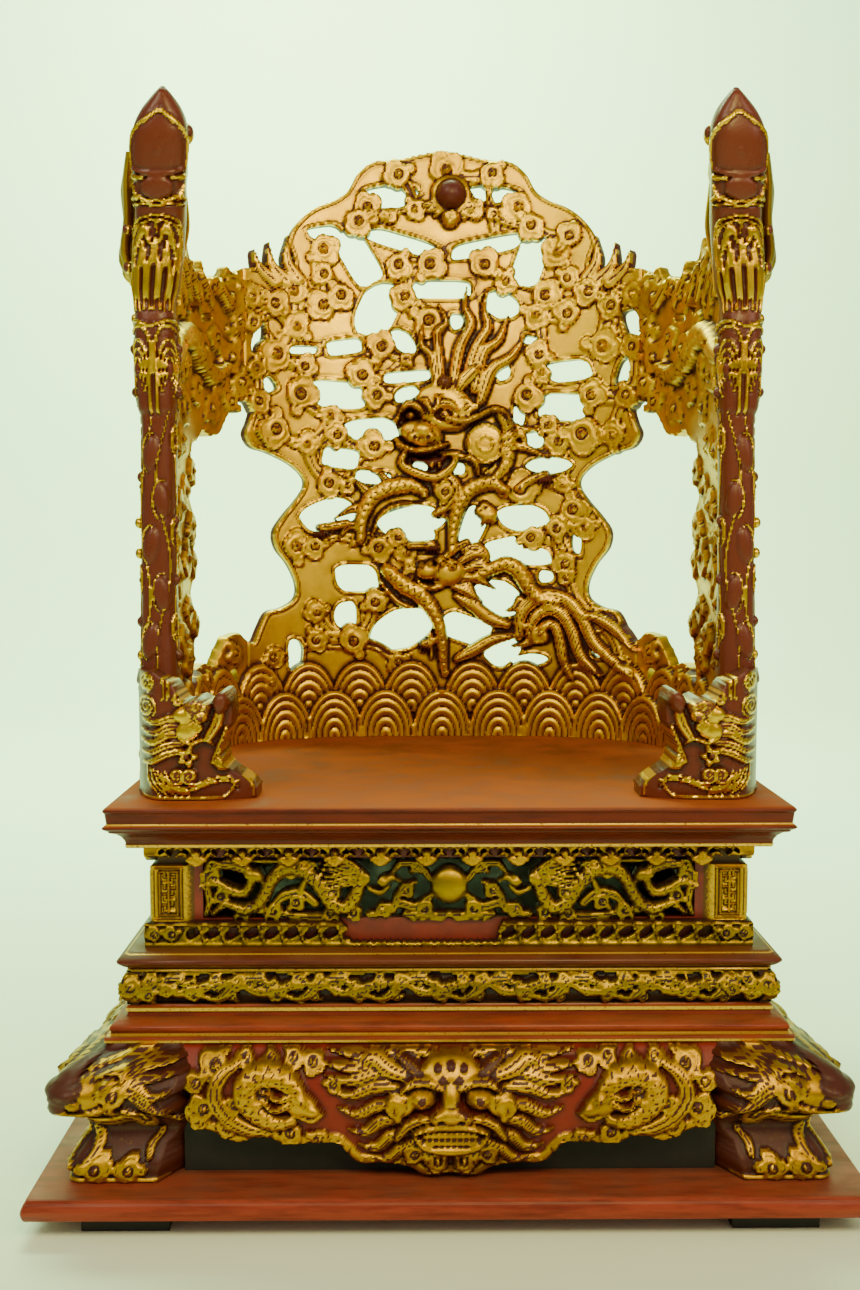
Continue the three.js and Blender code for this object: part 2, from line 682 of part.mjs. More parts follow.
function addScreen() {
  const right = [...CROWN, ...SHOULDER.slice(1), ...FLANK, [SEAM, SEAT_TOP + GAP]];
  const outline = [...right, ...mirrored(right).slice(0, -1)];
  let solid = toSolid(prism(outline, SHEET_BACK, SHEET_FRONT));
  for (const [s, z, length, height, tilt] of SLOTS) {
    solid = solid.subtract(toSolid(prism(oval(s, z, length, height, tilt), ...THROUGH)));
  }
  const top = SHEET_FRONT + RELIEF;
  const reliefs = CURLS.map(([s, z, r]) => mound(s, z, 0, top, r));
  reliefs.push(...waves(-SEAM, SEAM));
  // The pearl in its flames, and the dragon below it.
  reliefs.push(
    lump(12, 1143, 10, 20, 20, 20),
    mound(12, 1146, 0, top, 34, 0.7, 8),
    // head, mane and the scaled shell beside it
    lump(8, 862, 8, 44, 34, 28),
    lump(-26, 842, 10, 26, 20, 24),
    mound(57, 812, 0, 20, 32, 0.75, 10),
    tube([[10, 870, 4], [28, 930, 8], [36, 985, 4]], 22, 4),
    tube([[46, 860, 4], [80, 920, 6], [104, 985, 2]], 13, 4),
    // the body's loops
    tube([[-108, 690, 2], [-104, 735, 8], [-66, 762, 12], [-18, 752, 14], [12, 770, 8]], 17, 6),
    tube([[12, 668, 4], [22, 722, 10], [52, 756, 12], [92, 762, 8]], 15, 5),
    tube([[-70, 650, 2], [-28, 610, 8], [-6, 560, 8], [4, 505, 4]], 15, 5),
    tube([[50, 640, 4], [92, 652, 10], [118, 620, 10], [150, 590, 4]], 15, 5),
    lump(20, 640, 10, 34, 22, 20),
    mound(12, 700, 0, 12, 20),
    // the tail's plume
    tube([[120, 545, 4], [140, 590, 8], [178, 580, 8], [196, 520, 4], [214, 480, 2]], 17, 6),
  );
  solid = reliefs.reduce((all, one) => all.add(toSolid(one)), solid);
  const keep = block(-SEAM, SEAM, SEAT_TOP + GAP, 1210, SHEET_BACK, 60);
  solid = solid.intersect(toSolid(keep));
  addPiece('back_screen', bend(toGeometry(solid), -SEAM, SEAM), 'gilding');
}

// Outline of the right arm: top rail with the dragon's spikes, the opening
// beside the vertical panel, and the waves along the seat.
const ARM_TOP = [
  [SEAM, 1036], [292, 1027], [304, 1035], [322, 1006], [345, 1000], [364, 1032], [376, 1012],
  [404, 1016], [429, 1044], [441, 1018], [474, 1036], [486, 1008], [520, 1012], [532, 984], [566, 988],
  [578, 962], [ARM_END, 955],
];
const ARM_OPENING = [
  [430, 508], [434, 528], [418, 548], [411, 572], [419, 600], [433, 618], [416, 634], [410, 656],
  [416, 672], [409, 694], [418, 722], [432, 734], [417, 748], [410, 765], [420, 786], [412, 800],
  [388, 806], [368, 821], [345, 814], [322, 819], [308, 840], [294, 860], [SEAM, 866],
];
const ARM_WAVES = [[SEAM, 549], [290, 561], [312, 556], [328, 536], [340, 519], [372, 527], [398, 523], [412, 511]];
const ARM_SLOTS = [
  [352, 962, 30, 12, -10], [398, 968, 26, 12, 10], [592, 889, 14, 12, 0], [594, 800, 14, 16, 0],
  [594, 706, 12, 22, 0], [594, 632, 12, 26, 0], [592, 560, 12, 18, 0], [300, 505, 14, 18, 0],
  [512, 905, 30, 10, 0],
];
// Curls on both faces of the vertical panel and rail: s, height and radius.
const ARM_CURLS = [
  [300, 995, 19], [302, 918, 19], [322, 886, 18], [368, 920, 18], [392, 870, 17], [420, 935, 17],
  [450, 840, 18], [470, 960, 18], [500, 870, 18], [540, 920, 18], [500, 720, 17], [468, 660, 17],
  [510, 640, 17], [500, 570, 17], [550, 690, 18], [560, 760, 17], [556, 610, 18], [570, 830, 18],
];

function armOutline() {
  return [
    ...ARM_TOP, [ARM_END, SEAT_TOP + GAP], [SEAM, SEAT_TOP + GAP], ...ARM_WAVES, ...ARM_OPENING,
  ];
}

function addArms() {
  for (const [name, mirror] of [['left', -1], ['right', 1]]) {
    const place = (points) => (mirror > 0 ? points : mirrored(points));
    let solid = toSolid(prism(place(armOutline()), SHEET_BACK, SHEET_FRONT));
    for (const [s, z, length, height, tilt] of ARM_SLOTS) {
      const slot = oval(mirror * s, z, length, height, mirror * tilt);
      solid = solid.subtract(toSolid(prism(slot, ...THROUGH)));
    }
    const reliefs = ARM_CURLS.map(([s, z, r]) => mound(mirror * s, z, 0, SHEET_FRONT + RELIEF, r));
    for (const [s, z, r] of ARM_CURLS.filter(([place, , radius]) => place > 440 && radius >= 18)) {
      const curl = mound(mirror * s, z, 0, RELIEF - SHEET_BACK, r).rotateY(Math.PI);
      reliefs.push(curl.translate(2 * mirror * s, 0, 0));
    }
    reliefs.push(...(mirror > 0 ? waves(SEAM, ARM_END) : waves(-ARM_END, -SEAM)));
    solid = reliefs.reduce((all, one) => all.add(toSolid(one)), solid);
    const [low, high] = mirror > 0 ? [SEAM + GAP, ARM_END] : [-ARM_END, -SEAM - GAP];
    const keep = block(low, high, SEAT_TOP + GAP, 1100, SHEET_BACK - 12, 40);
    solid = solid.intersect(toSolid(keep));
    const bent = bend(toGeometry(solid), low, high);
    const cut = toSolid(bent).subtract(postSolid(mirror, GAP));
    addPiece(`arm_${name}`, toGeometry(largest(cut)), 'gilding');
  }
}

// ------------------------------------------------------------------ the posts

// Rings of the left post, from the seat to the tip of the dragon's jaw:
// height, distance outwards, distance forwards, half width, half depth, lean.
const POST_RINGS = [
  [414.3, 306, 178, 20, 24, 0], [545, 307, 176, 20, 23, 0], [600, 307, 175, 19, 21, 0],
  [800, 304, 175, 19, 21, 0], [835, 305, 176, 22, 24, 0], [905, 305, 178, 23, 25, 0],
  [922, 305, 179, 21.5, 24, 0], [950, 303, 180, 24.5, 26, -4], [1000, 298, 184, 26, 26, -10],
  [1046, 294, 200, 27, 25, -28], [1080, 290.5, 218, 28.5, 22, -35], [1104, 287, 230, 24, 17, -40],
  [1118, 285, 235, 13, 11, -43], [1126, 284, 238, 4, 6, -44],
];
const POST_SIDES = 8;
const POST_POWER = 3; // 2 is an oval section, more is squarer
// Outline of the left foot, a beast's head above a sloped toe: distance
// inwards from its outer edge, and height above the seat.
const FOOT_OUTLINE = [
  [0, 0], [125, 0], [126, 13], [112, 25], [94, 42], [92, 52], [100, 70], [101, 92], [97, 112],
  [86, 112], [78, 101], [68, 105], [54, 102], [44, 118], [0, 132],
];
const FOOT_FACE = { x: -327, y: -236, depth: 55 };
const FOOT_ROUND = { width: 32, back: 40 }; // its outer edge is rounded by this
const TOE_TURN = { from: 62, back: 15 }; // its toe turns back by this
const FOOT_BENDS = [10, 20, FOOT_ROUND.width, TOE_TURN.from, 95];

// How far back the foot's face lies at distance u from its outer edge.
function footFace(u) {
  if (u < FOOT_ROUND.width) return FOOT_ROUND.back * (1 - u / FOOT_ROUND.width) ** 2;
  if (u < TOE_TURN.from) return 0;
  return TOE_TURN.back * ((u - TOE_TURN.from) / (FOOT_OUTLINE[1][0] - TOE_TURN.from)) ** 2;
}

function leftFoot(grow) {
  const outline = FOOT_OUTLINE.map(([u, v]) => [u < 20 ? u - grow : u + grow, v > 0 ? v + grow : v]);
  const slab = prism(outline, -FOOT_FACE.depth - grow, grow).rotateX(Math.PI / 2);
  return movePoints(cutTriangles(slab, 0, FOOT_BENDS), (u, y, v) => [
    FOOT_FACE.x + u,
    FOOT_FACE.y + y + footFace(u),
    SEAT_TOP + GAP + v,
  ]);
}

// The dragon's brow, ear and mane on the left post, and the face of its foot.
function leftPostParts(grow) {
  const knob = (x, y, z, rx, ry, rz) => lump(x, y, z, rx + grow, ry + grow, rz + grow);
  const lock = (points) => tube(points, 11 + grow, 4);
  return [
    knob(-292, -176, 1070, 21, 24, 30),
    knob(-314, -200, 1086, 9, 11, 12),
    knob(-268, -206, 1092, 7, 10, 10),
    knob(-331, -168, 1048, 9, 12, 13),
    lock([[-308, -174, 1084], [-322, -150, 1050], [-327, -150, 1000], [-322, -158, 940]]),
    lock([[-300, -166, 1078], [-308, -148, 1046], [-312, -146, 1000], [-310, -156, 940]]),
    knob(-258, -236, 496, 15, 9, 17),
    knob(-238, -232, 482, 10, 10, 20),
    knob(-236, -228, 518, 7, 7, 11),
    knob(-296, -232, 474, 24, 8, 30),
  ];
}

function postSolid(mirror, grow) {
  const rings = POST_RINGS.map(([z, out, forward, half_x, half_y, lean]) => {
    const tilt = THREE.MathUtils.degToRad(lean);
    const ring = [];
    for (let i = 0; i < POST_SIDES; i += 1) {
      const a = ((i + 0.5) / POST_SIDES) * Math.PI * 2;
      const c = Math.cos(a);
      const s = Math.sin(a);
      const u = (half_x + grow) * Math.sign(c) * Math.abs(c) ** (2 / POST_POWER);
      const v = (half_y + grow) * Math.sign(s) * Math.abs(s) ** (2 / POST_POWER);
      ring.push(new THREE.Vector3(mirror * out + u, v * Math.cos(tilt) - forward, z - v * Math.sin(tilt)));
    }
    return ring;
  });
  const parts = [leftFoot(grow), ...leftPostParts(grow)].map((one) => (mirror > 0 ? flip(one) : one));
  return parts.reduce((all, one) => all.add(toSolid(one)), toSolid(loft(rings)));
}

// A copy mirrored left to right, with its faces still pointing out.
function flip(geometry) {
  const copy = bare(geometry).scale(-1, 1, 1);
  const index = copy.index.array;
  for (let i = 0; i < index.length; i += 3) {
    [index[i], index[i + 1]] = [index[i + 1], index[i]];
  }
  return copy;
}

function addPosts() {
  addPiece('post_left', toGeometry(postSolid(-1, 0)), 'maroon_lacquer');
  addPiece('post_right', toGeometry(postSolid(1, 0)), 'maroon_lacquer');
}

addPlinth();
addLegs();
addAprons();
addMouldings();
addScrollBand();
addWaistPosts();
addWaistPanels();
addValancesAndRails();
addScreen();
addArms();
addPosts();

export default throne;
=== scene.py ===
"""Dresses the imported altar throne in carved, gilded and lacquered surfaces.

All lengths inside are millimetres in the frame's own axes, and MM turns them
to metres where a mesh is made. A carving is drawn on a flat grid, u across and
v up, as an edge distance and a height, and is then laid on the throne.
"""

import math

import bpy
import numpy as np
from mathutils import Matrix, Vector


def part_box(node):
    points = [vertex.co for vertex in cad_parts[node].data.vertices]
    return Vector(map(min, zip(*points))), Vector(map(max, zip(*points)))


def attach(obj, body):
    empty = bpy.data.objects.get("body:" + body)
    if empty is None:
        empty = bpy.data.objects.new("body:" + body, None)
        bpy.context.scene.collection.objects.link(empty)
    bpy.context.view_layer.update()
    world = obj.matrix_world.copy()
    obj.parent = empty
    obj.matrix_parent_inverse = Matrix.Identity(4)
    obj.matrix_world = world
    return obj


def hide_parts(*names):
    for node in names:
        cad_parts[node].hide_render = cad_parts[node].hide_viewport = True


bl_info = {
    "name": "Altar throne",
    "version": (1, 0, 0),
    "blender": (4, 5, 0),
    "location": "3D View > Sidebar > Throne",
    "description": "Carved and gilded surfaces for an altar throne",
    "category": "Object",
}

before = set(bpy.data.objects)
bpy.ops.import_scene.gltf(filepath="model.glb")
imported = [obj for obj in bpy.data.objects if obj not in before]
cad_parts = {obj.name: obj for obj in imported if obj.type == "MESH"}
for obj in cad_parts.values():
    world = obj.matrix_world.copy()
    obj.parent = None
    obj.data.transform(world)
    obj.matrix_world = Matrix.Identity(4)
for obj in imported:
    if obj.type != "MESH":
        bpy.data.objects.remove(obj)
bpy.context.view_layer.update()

MM = 0.001
FAR = 1000.0  # a distance beyond any that a carving measures

# ------------------------------------------------------------ main sizes, mm


def box(node):
    """Lowest and highest corner of a frame node, in millimetres."""
    low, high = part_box(node)
    return np.array(low) / MM, np.array(high) / MM


SIDE_CUT = 75.0  # every board is this much less deep than wide, each half
PLINTH_LOW, PLINTH_HIGH = box("plinth_board")
LOWER_LOW, LOWER_HIGH = box("lower_moulding")
MIDDLE_LOW, MIDDLE_HIGH = box("middle_moulding")
SEAT_LOW, SEAT_HIGH = box("seat_board")
SCREEN_LOW, SCREEN_HIGH = box("back_screen")
WAIST_LOW, WAIST_HIGH = box("waist_frame_front")
VALANCE_LOW, VALANCE_HIGH = box("valance_front")
RAIL_LOW, RAIL_HIGH = box("lower_rail_front")
SEAT_TOP = SEAT_HIGH[2]
LEG_TOP = LOWER_LOW[2]
CROWN_TOP = SCREEN_HIGH[2]
GAP = 0.3  # room between a piece and what it stands on
ON_SEAT = SEAT_TOP + GAP

# The screen and the arms are one bent sheet: a superellipse behind centre_y
# in plan, and straight in front of it.
SHEET_HALF_X = 314.0
SHEET_HALF_Y = 238.0
SHEET_POWER = 3.0
SHEET_CENTRE_Y = -10.0
SHEET_BACK = -12.0
SHEET_FACE = 4.0
SEAM = 275.0


# ------------------------------------------------------------- lines and forms


def srgb(text):
    """A hex colour as linear red, green, blue and alpha."""
    parts = [int(text[k : k + 2], 16) / 255 for k in (1, 3, 5)]
    return [c / 12.92 if c <= 0.04045 else ((c + 0.055) / 1.055) ** 2.4 for c in parts] + [1.0]


def smooth_line(points, steps=6, closed=False):
    """A Catmull-Rom line through the points, with steps pieces to a span."""
    p = np.asarray(points, float)
    if closed:
        padded = np.vstack([p[-1:], p, p[:2]])
    else:
        padded = np.vstack([2 * p[:1] - p[1:2], p, 2 * p[-1:] - p[-2:-1]])
    spans = len(padded) - 3
    a, b, c, d = (padded[i : i + spans, None, :] for i in range(4))
    t = (np.arange(steps) / steps)[None, :, None]
    line = 0.5 * (
        2 * b
        + (c - a) * t
        + (2 * a - 5 * b + 4 * c - d) * t**2
        + (3 * b - a - 3 * c + d) * t**3
    )
    line = line.reshape(-1, p.shape[1])
    return line if closed else np.vstack([line, p[-1:]])


def mirrored(points):
    """The same points the other side of u = 0, in reverse order."""
    return [(-u, v) for u, v in reversed(points)]


def ridge(distance, at, width):
    """A rounded line: 1 at the given distance, and falling off as a bell."""
    return np.exp(-(((distance - at) / width) ** 2))


def dome(ratio):
    """The section of a half ball, 1 at ratio 0 and 0 from ratio 1."""
    return np.sqrt(np.clip(1 - ratio**2, 0, None))


def polygon_distance(u, v, corners):
    """Distance to the nearest side of a closed polygon, positive inside it."""
    corners = np.asarray(corners, float)
    best = np.full(u.shape, FAR)
    inside = np.zeros(u.shape, bool)
    for (u0, v0), (u1, v1) in zip(corners, np.roll(corners, -1, axis=0)):
        du, dv = u1 - u0, v1 - v0
        along = np.clip(((u - u0) * du + (v - v0) * dv) / (du * du + dv * dv + 1e-9), 0, 1)
        best = np.minimum(best, np.hypot(u - u0 - along * du, v - v0 - along * dv))
        slope = du / dv if abs(dv) > 1e-9 else 0.0
        inside ^= ((v0 > v) != (v1 > v)) & (u < u0 + (v - v0) * slope)
    return np.where(inside, best, -best)


def line_distance(u, v, line):
    """Distance to an open line, the place along it from 0 to 1, and the side."""
    steps = np.hypot(*np.diff(line, axis=0).T)
    starts = np.concatenate([[0], np.cumsum(steps)])
    best = np.full(u.shape, FAR)
    place = np.zeros(u.shape)
    side = np.ones(u.shape)
    for (u0, v0), (u1, v1), start, step in zip(line[:-1], line[1:], starts, steps):
        du, dv = u1 - u0, v1 - v0
        along = np.clip(((u - u0) * du + (v - v0) * dv) / (step * step + 1e-9), 0, 1)
        away = np.hypot(u - u0 - along * du, v - v0 - along * dv)
        nearer = away < best
        best = np.where(nearer, away, best)
        place = np.where(nearer, (start + along * step) / starts[-1], place)
        side = np.where(nearer, np.sign(du * (v - v0) - dv * (u - u0) + 1e-9), side)
    return best, place, side, starts[-1]


def blur(values, cells):
    """A running mean over a square of 2 cells + 1, by cumulative sums."""
    out = values
    for axis in (0, 1):
        pad = [(0, 0), (0, 0)]
        pad[axis] = (cells + 1, cells)
        total = np.cumsum(np.pad(out, pad, mode="edge"), axis=axis)
        count = out.shape[axis]
        width = 2 * cells + 1
        high = np.take(total, range(width, width + count), axis=axis)
        low = np.take(total, range(count), axis=axis)
        out = (high - low) / width
    return out


# ---------------------------------------------------------------- the carving

# A cloud head's plate: the lean, distance and size of each lobe, per radius.
CLOUD_LOBES = (
    (0, 0.0, 0.96), (58, 0.62, 0.78), (-14, 0.72, 0.7), (-74, 0.5, 0.66), (160, 1.1, 0.46),
)


class Carving:
    """A relief on a grid: edge distance, height, and what finish shows.

    edge is positive inside the wood. lacquer is 1 where the gold is worn or was never laid, and it also
    carries painted shade at the bottoms of undercuts, grooves, troughs and fold valleys, and in the steps
    between scales. ground is 1 on the painted ground behind the carving.
    """

    def __init__(self, low, high, step):
        self.step = step
        counts = [int(round((b - a) / step)) + 1 for a, b in zip(low, high)]
        across = np.linspace(low[0], high[0], counts[0])
        up = np.linspace(low[1], high[1], counts[1])
        self.u, self.v = np.meshgrid(across, up)
        self.low = low
        self.edge = np.full(self.u.shape, -FAR)
        self.height = np.zeros(self.u.shape)
        self.lacquer = np.zeros(self.u.shape)
        self.ground = np.zeros(self.u.shape)

    def near(self, u0, u1, v0, v1):
        """The part of the grid that covers a box."""
        rows, columns = self.u.shape
        i0 = max(0, int((u0 - self.low[0]) / self.step))
        i1 = min(columns, int((u1 - self.low[0]) / self.step) + 2)
        j0 = max(0, int((v0 - self.low[1]) / self.step))
        j1 = min(rows, int((v1 - self.low[1]) / self.step) + 2)
        return (slice(j0, max(j0, j1)), slice(i0, max(i0, i1)))

    def outline(self, points, steps=5):
        """Adds the inside of a closed smooth line to the wood."""
        line = smooth_line(points, steps, closed=True) if steps > 1 else np.asarray(points)
        self.edge = np.maximum(self.edge, polygon_distance(self.u, self.v, line))

    def opening(self, u, v, length, height, tilt=0.0, lobes=3):
        """Cuts an oval hole whose rim goes in and out a little in lobes."""
        reach = max(length, height)
        part = self.near(u - reach, u + reach, v - reach, v + reach)
        turn = math.radians(tilt)
        du, dv = self.u[part] - u, self.v[part] - v
        x = du * math.cos(turn) + dv * math.sin(turn)
        y = dv * math.cos(turn) - du * math.sin(turn)
        a, b = length / 2, height / 2
        angle = np.arctan2(y / b, x / a)
        grow = 1.04 - 0.13 * np.abs(np.cos(lobes * angle / 2 + u))
        ratio = ((np.abs(x / a) ** 2.6 + np.abs(y / b) ** 2.6) ** (1 / 2.6)) / grow
        slope = np.hypot(x / a**2, y / b**2) / np.maximum(np.hypot(x / a, y / b), 1e-3)
        away = (1 - ratio) / np.maximum(slope, 0.5 / a)
        self.edge[part] = np.minimum(self.edge[part], -away)

    def put(self, part, inside, height, lacquer=0.0):
        """Adds a form, which shows wherever it is higher than what is there."""
        higher = inside & (height > self.height[part])
        self.height[part] = np.where(higher, height, self.height[part])
        self.lacquer[part] = np.where(higher, lacquer, self.lacquer[part])
        self.ground[part][higher] = 0.0

    def undercut(self, part, distance, depth, width):
        """Sinks what lies just outside a form, which sets it off, and paints shade in the deepest part of the
        sinking.
        """
        fall = depth * np.clip(1 + distance / width, 0, 1) * (distance < 0)
        self.height[part] -= fall
        # Painted shade: the deepest part of the sinking shows lacquer.
        self.lacquer[part] = np.maximum(self.lacquer[part], 0.5 * (fall > 0.6 * depth))

    def boss(self, u, v, ru, rv, rise, level=0.0, lacquer=0.0, power=1.0, cut=1.0, tilt=0.0):
        """A dome on an oval foot; power under 1 makes it blunter."""
        reach = max(ru, rv) + 3
        part = self.near(u - reach, u + reach, v - reach, v + reach)
        turn = math.radians(tilt)
        du, dv = self.u[part] - u, self.v[part] - v
        x = du * math.cos(turn) + dv * math.sin(turn)
        y = dv * math.cos(turn) - du * math.sin(turn)
        ratio = np.hypot(x / ru, y / rv)
        if cut:
            self.undercut(part, (1 - ratio) * min(ru, rv), cut, 2.0)
        self.put(part, ratio < 1, level + rise * dome(ratio) ** power, lacquer)

    def dent(self, u, v, ru, rv, depth, lacquer=1.0):
        """A hollow with an oval rim."""
        reach = max(ru, rv) + 2
        part = self.near(u - reach, u + reach, v - reach, v + reach)
        ratio = np.hypot((self.u[part] - u) / ru, (self.v[part] - v) / rv)
        self.height[part] -= depth * dome(ratio)
        self.lacquer[part] = np.where(ratio < 1, lacquer, self.lacquer[part])

    def band(self, path, widths, rise, level=0.0, folds=1, lacquer=0.0, scales=0.0,
             solid=False, rim=0.0):
        """A rounded band along a smooth line through path.

        Its half width runs evenly through widths. folds ridges lie side by
        side on it, or scales of that length, and rim raises its two edges.
        """
        line = smooth_line(path, 6)
        reach = max(widths) + 3
        low, high = line.min(0) - reach, line.max(0) + reach
        part = self.near(low[0], high[0], low[1], high[1])
        away, place, side, length = line_distance(self.u[part], self.v[part], line)
        half = np.maximum(np.interp(place, np.linspace(0, 1, len(widths)), widths), 0.05)
        inside = away < half
        self.undercut(part, half - away, 1.4, 2.0)
        across = side * away / half
        form = level + rise * dome(np.abs(across)) ** 0.8 * np.minimum(1, half / max(widths) + 0.35)
        shade = np.full(form.shape, float(lacquer))
        if folds > 1:
            valley = 0.5 + 0.5 * np.cos(np.pi * folds * (across + 1))
            form = form - 1.3 * valley**2
            # Painted shade in the valleys between folds.
            shade = np.maximum(shade, 0.9 * (valley > 0.82))
        if scales:
            column = np.round(across * half / scales)
            x = across * half / scales - column
            phase = (place * length / (1.25 * scales) + 0.5 * (column % 2) + 1.5 * x * x) % 1.0
            form = form + 0.36 * scales * (1 - phase) - 0.1 * scales
            # Painted shade in the step from one scale to the next.
            shade = np.maximum(shade, 0.85 * (phase > 0.84))
        if rim:
            form = form + rim * ridge(half - away, 1.6, 1.1)
            shade = np.where(half - away < 2.8, 0.0, shade)
        if solid:
            self.edge[part] = np.maximum(self.edge[part], half - away)
        self.put(part, inside, form, shade)

    def cloud(self, u, v, r, turn, level=0.0, solid=True, spin=1):
        """A curled cloud head: a lobed plate in a rolled rim, and a ball in a coil."""
        reach = 1.9 * r
        part = self.near(u - reach, u + reach, v - reach, v + reach)
        du, dv = self.u[part] - u, self.v[part] - v
        distance = np.full(du.shape, -FAR)
        for lean, out, size in CLOUD_LOBES:
            a = math.radians(turn + lean * spin)
            lobe = size * r - np.hypot(du - out * r * math.cos(a), dv - out * r * math.sin(a))
            distance = np.maximum(distance, lobe)
        if solid:
            self.edge[part] = np.maximum(self.edge[part], distance)
        self.undercut(part, distance, 2.0, 1.6)
        form = level + 2.2 * np.clip(distance / 1.6, 0, 1) ** 0.6
        form = form + 1.5 * ridge(distance, 2.0, 1.5) - 0.8 * ridge(distance, 4.4, 1.0)
        ball = 0.3 * r
        rho = np.hypot(du, dv)
        angle = (np.arctan2(dv, du) - math.radians(turn)) * spin / (2 * math.pi) % 1.0
        coil = ball + 2.4 + (0.7 * r - ball - 2.4) * angle
        inner = (distance > 4.0) & (rho < 0.85 * r)
        form = form + 1.6 * ridge(rho, coil, 1.5) * inner - 1.2 * ridge(rho, ball + 0.8, 1.2)
        # Painted shade: dark in the groove inside the rim and in the ring round the ball.
        shade = 0.55 * ridge(distance, 4.4, 1.4) * (inner == 0)
        shade = np.maximum(shade, 0.8 * ridge(rho, ball + 1.0, 1.4))
        self.put(part, distance > 0, form, shade)
        knob = level + 2.2 + 1.3 * ball * dome(rho / ball)
        worn = np.hypot(du + 0.2 * ball, dv - 0.3 * ball) < 0.5 * ball
        self.put(part, rho < ball, knob, 0.9 * worn)

    def fan(self, u, v, half, tall, level, ribs):
        """Half a set of oval ripples that stand on v, one inside the other."""
        part = self.near(u - half - 3, u + half + 3, v - 3, v + tall + 3)
        du, dv = (self.u[part] - u) / half, (self.v[part] - v) / tall
        rho = np.hypot(du, dv)
        distance = (1 - rho) * min(half, tall)
        self.undercut(part, np.where(dv > 0, distance, -FAR), 2.2, 3.5)
        wave = 0.5 - 0.5 * np.cos(2 * np.pi * ribs * (1 - rho) ** 0.9)
        form = level + 2.6 * wave**0.7 + 3.0 * (rho - 0.5)
        form = form - 2.5 * (1 - np.clip(distance / 2.5, 0, 1)) ** 2
        self.edge[part] = np.maximum(self.edge[part], np.where(dv > -0.05, distance, -FAR))
        # The troughs between ripples carry painted shade.
        self.put(part, (rho < 1) & (dv > -0.1), form, 0.6 * (wave < 0.14))

    def paw(self, u, v, size):
        """Four dark hooked claws that hang side by side from a knuckle."""
        self.boss(u, v, 12 * size, 7 * size, 6, 5, 0.3)
        for k in range(4):
            x = u + (k - 1.5) * 5.2 * size
            path = [(x, v + 2 * size), (x + 0.6, v - 6 * size), (x - 0.5, v - 13 * size)]
            self.band(path, (2.7 * size, 2.5 * size, 0.8), 6.0, 6.0, lacquer=0.7)

    def soften(self, round_off=1.6):
        """Rolls the front over at the edges, and smooths steps by one cell."""
        fall = round_off * (1 - np.clip(self.edge / 2.5, 0, 1)) ** 2
        self.height = 0.62 * self.height + 0.38 * blur(self.height, 1) - fall

    def hollow(self):
        """How far below its surroundings each place lies, from 0 to 1."""
        cells = max(1, int(round(5.0 / self.step)))
        # The finishes darken by this as painted shade.
        return np.clip((blur(self.height, cells) - self.height) / 2.6, 0, 1)

    def crest(self):
        """How far above its surroundings each place stands, from 0 to 1."""
        cells = max(1, int(round(4.0 / self.step)))
        return np.clip((self.height - blur(self.height, cells)) / 2.2, 0, 1)

    # From the grid to closed faces.

    def finish_values(self):
        """Per point: lacquer, hollow, ground and crest."""
        return np.stack([self.lacquer, self.hollow(), self.ground, self.crest()], -1)

    def shell(self, place, back, rear=None):
        """A closed mesh: the carved front, walls down every edge, and the back.

        place turns (u, v, w) to x, y and z. The back lies at w = back, or
        carries the height of another carving, rear, away from the front.
        """
        keep = self.edge > -0.35 * self.step
        index = np.arange(keep.size).reshape(keep.shape)
        corners = [(slice(None, -1), slice(None, -1)), (slice(None, -1), slice(1, None))]
        corners += [(slice(1, None), slice(1, None)), (slice(1, None), slice(None, -1))]
        kept = np.stack([keep[c] for c in corners])
        ids = np.stack([index[c] for c in corners])
        count = kept.sum(0)
        full = count == 4
        quads = ids[:, full].T
        threes = []
        for lost in range(4):
            rest = [(lost + k) % 4 for k in (1, 2, 3)]
            threes.append(ids[:, (count == 3) & ~kept[lost]][rest].T)
        threes = np.vstack(threes)
        edges = [quads[:, [k, (k + 1) % 4]] for k in range(4)]
        edges += [threes[:, [k, (k + 1) % 3]] for k in range(3)]
        edges = np.vstack(edges).astype(np.int64)
        forward = edges[:, 0] * keep.size + edges[:, 1]
        backward = edges[:, 1] * keep.size + edges[:, 0]
        rims = edges[~np.isin(forward, backward)]

        u, v = self.u.ravel().copy(), self.v.ravel().copy()
        slope_v, slope_u = np.gradient(self.edge, self.step)
        border = np.unique(rims)
        gu, gv = slope_u.ravel()[border], slope_v.ravel()[border]
        size = np.maximum(gu**2 + gv**2, 0.3)
        shift = np.clip(self.edge.ravel()[border], -self.step, self.step) / size
        near = np.abs(self.edge.ravel()[border]) < 1.5 * self.step
        u[border] -= np.where(near, shift * gu, 0)
        v[border] -= np.where(near, shift * gv, 0)

        values = self.finish_values().reshape(-1, 4)
        front = np.stack(place(u, v, self.height.ravel()), -1)
        if rear is None:
            depth = np.full(u.shape, float(back))
            # The back takes lacquer and a painted shade of 0.3 in the hollow channel, which also darkens the
            # walls towards it.
            behind_values = values * 0 + np.array([1, 0.3, 0, 0])
            quads_behind, blocks = coarser(full, ids)
        else:
            depth = back - rear.height.ravel()
            behind_values = rear.finish_values().reshape(-1, 4)
            quads_behind, blocks = quads, None
        behind = np.stack(place(u, v, depth), -1)
        shift_ids = keep.size
        faces = [quads, threes, quads_behind[:, ::-1] + shift_ids, threes[:, ::-1] + shift_ids]
        faces.append(np.hstack([rims[:, [1, 0]], rims + shift_ids]))
        loops = np.concatenate([f.ravel() for f in faces])
        sizes = np.concatenate([np.full(len(f), f.shape[1]) for f in faces])
        if blocks is not None:
            loops = np.concatenate([loops, blocks[0] + shift_ids])
            sizes = np.concatenate([sizes, blocks[1]])
        points = np.vstack([front, behind])
        tones = np.vstack([values, behind_values])
        return tidy_mesh(points, loops, sizes, tones)


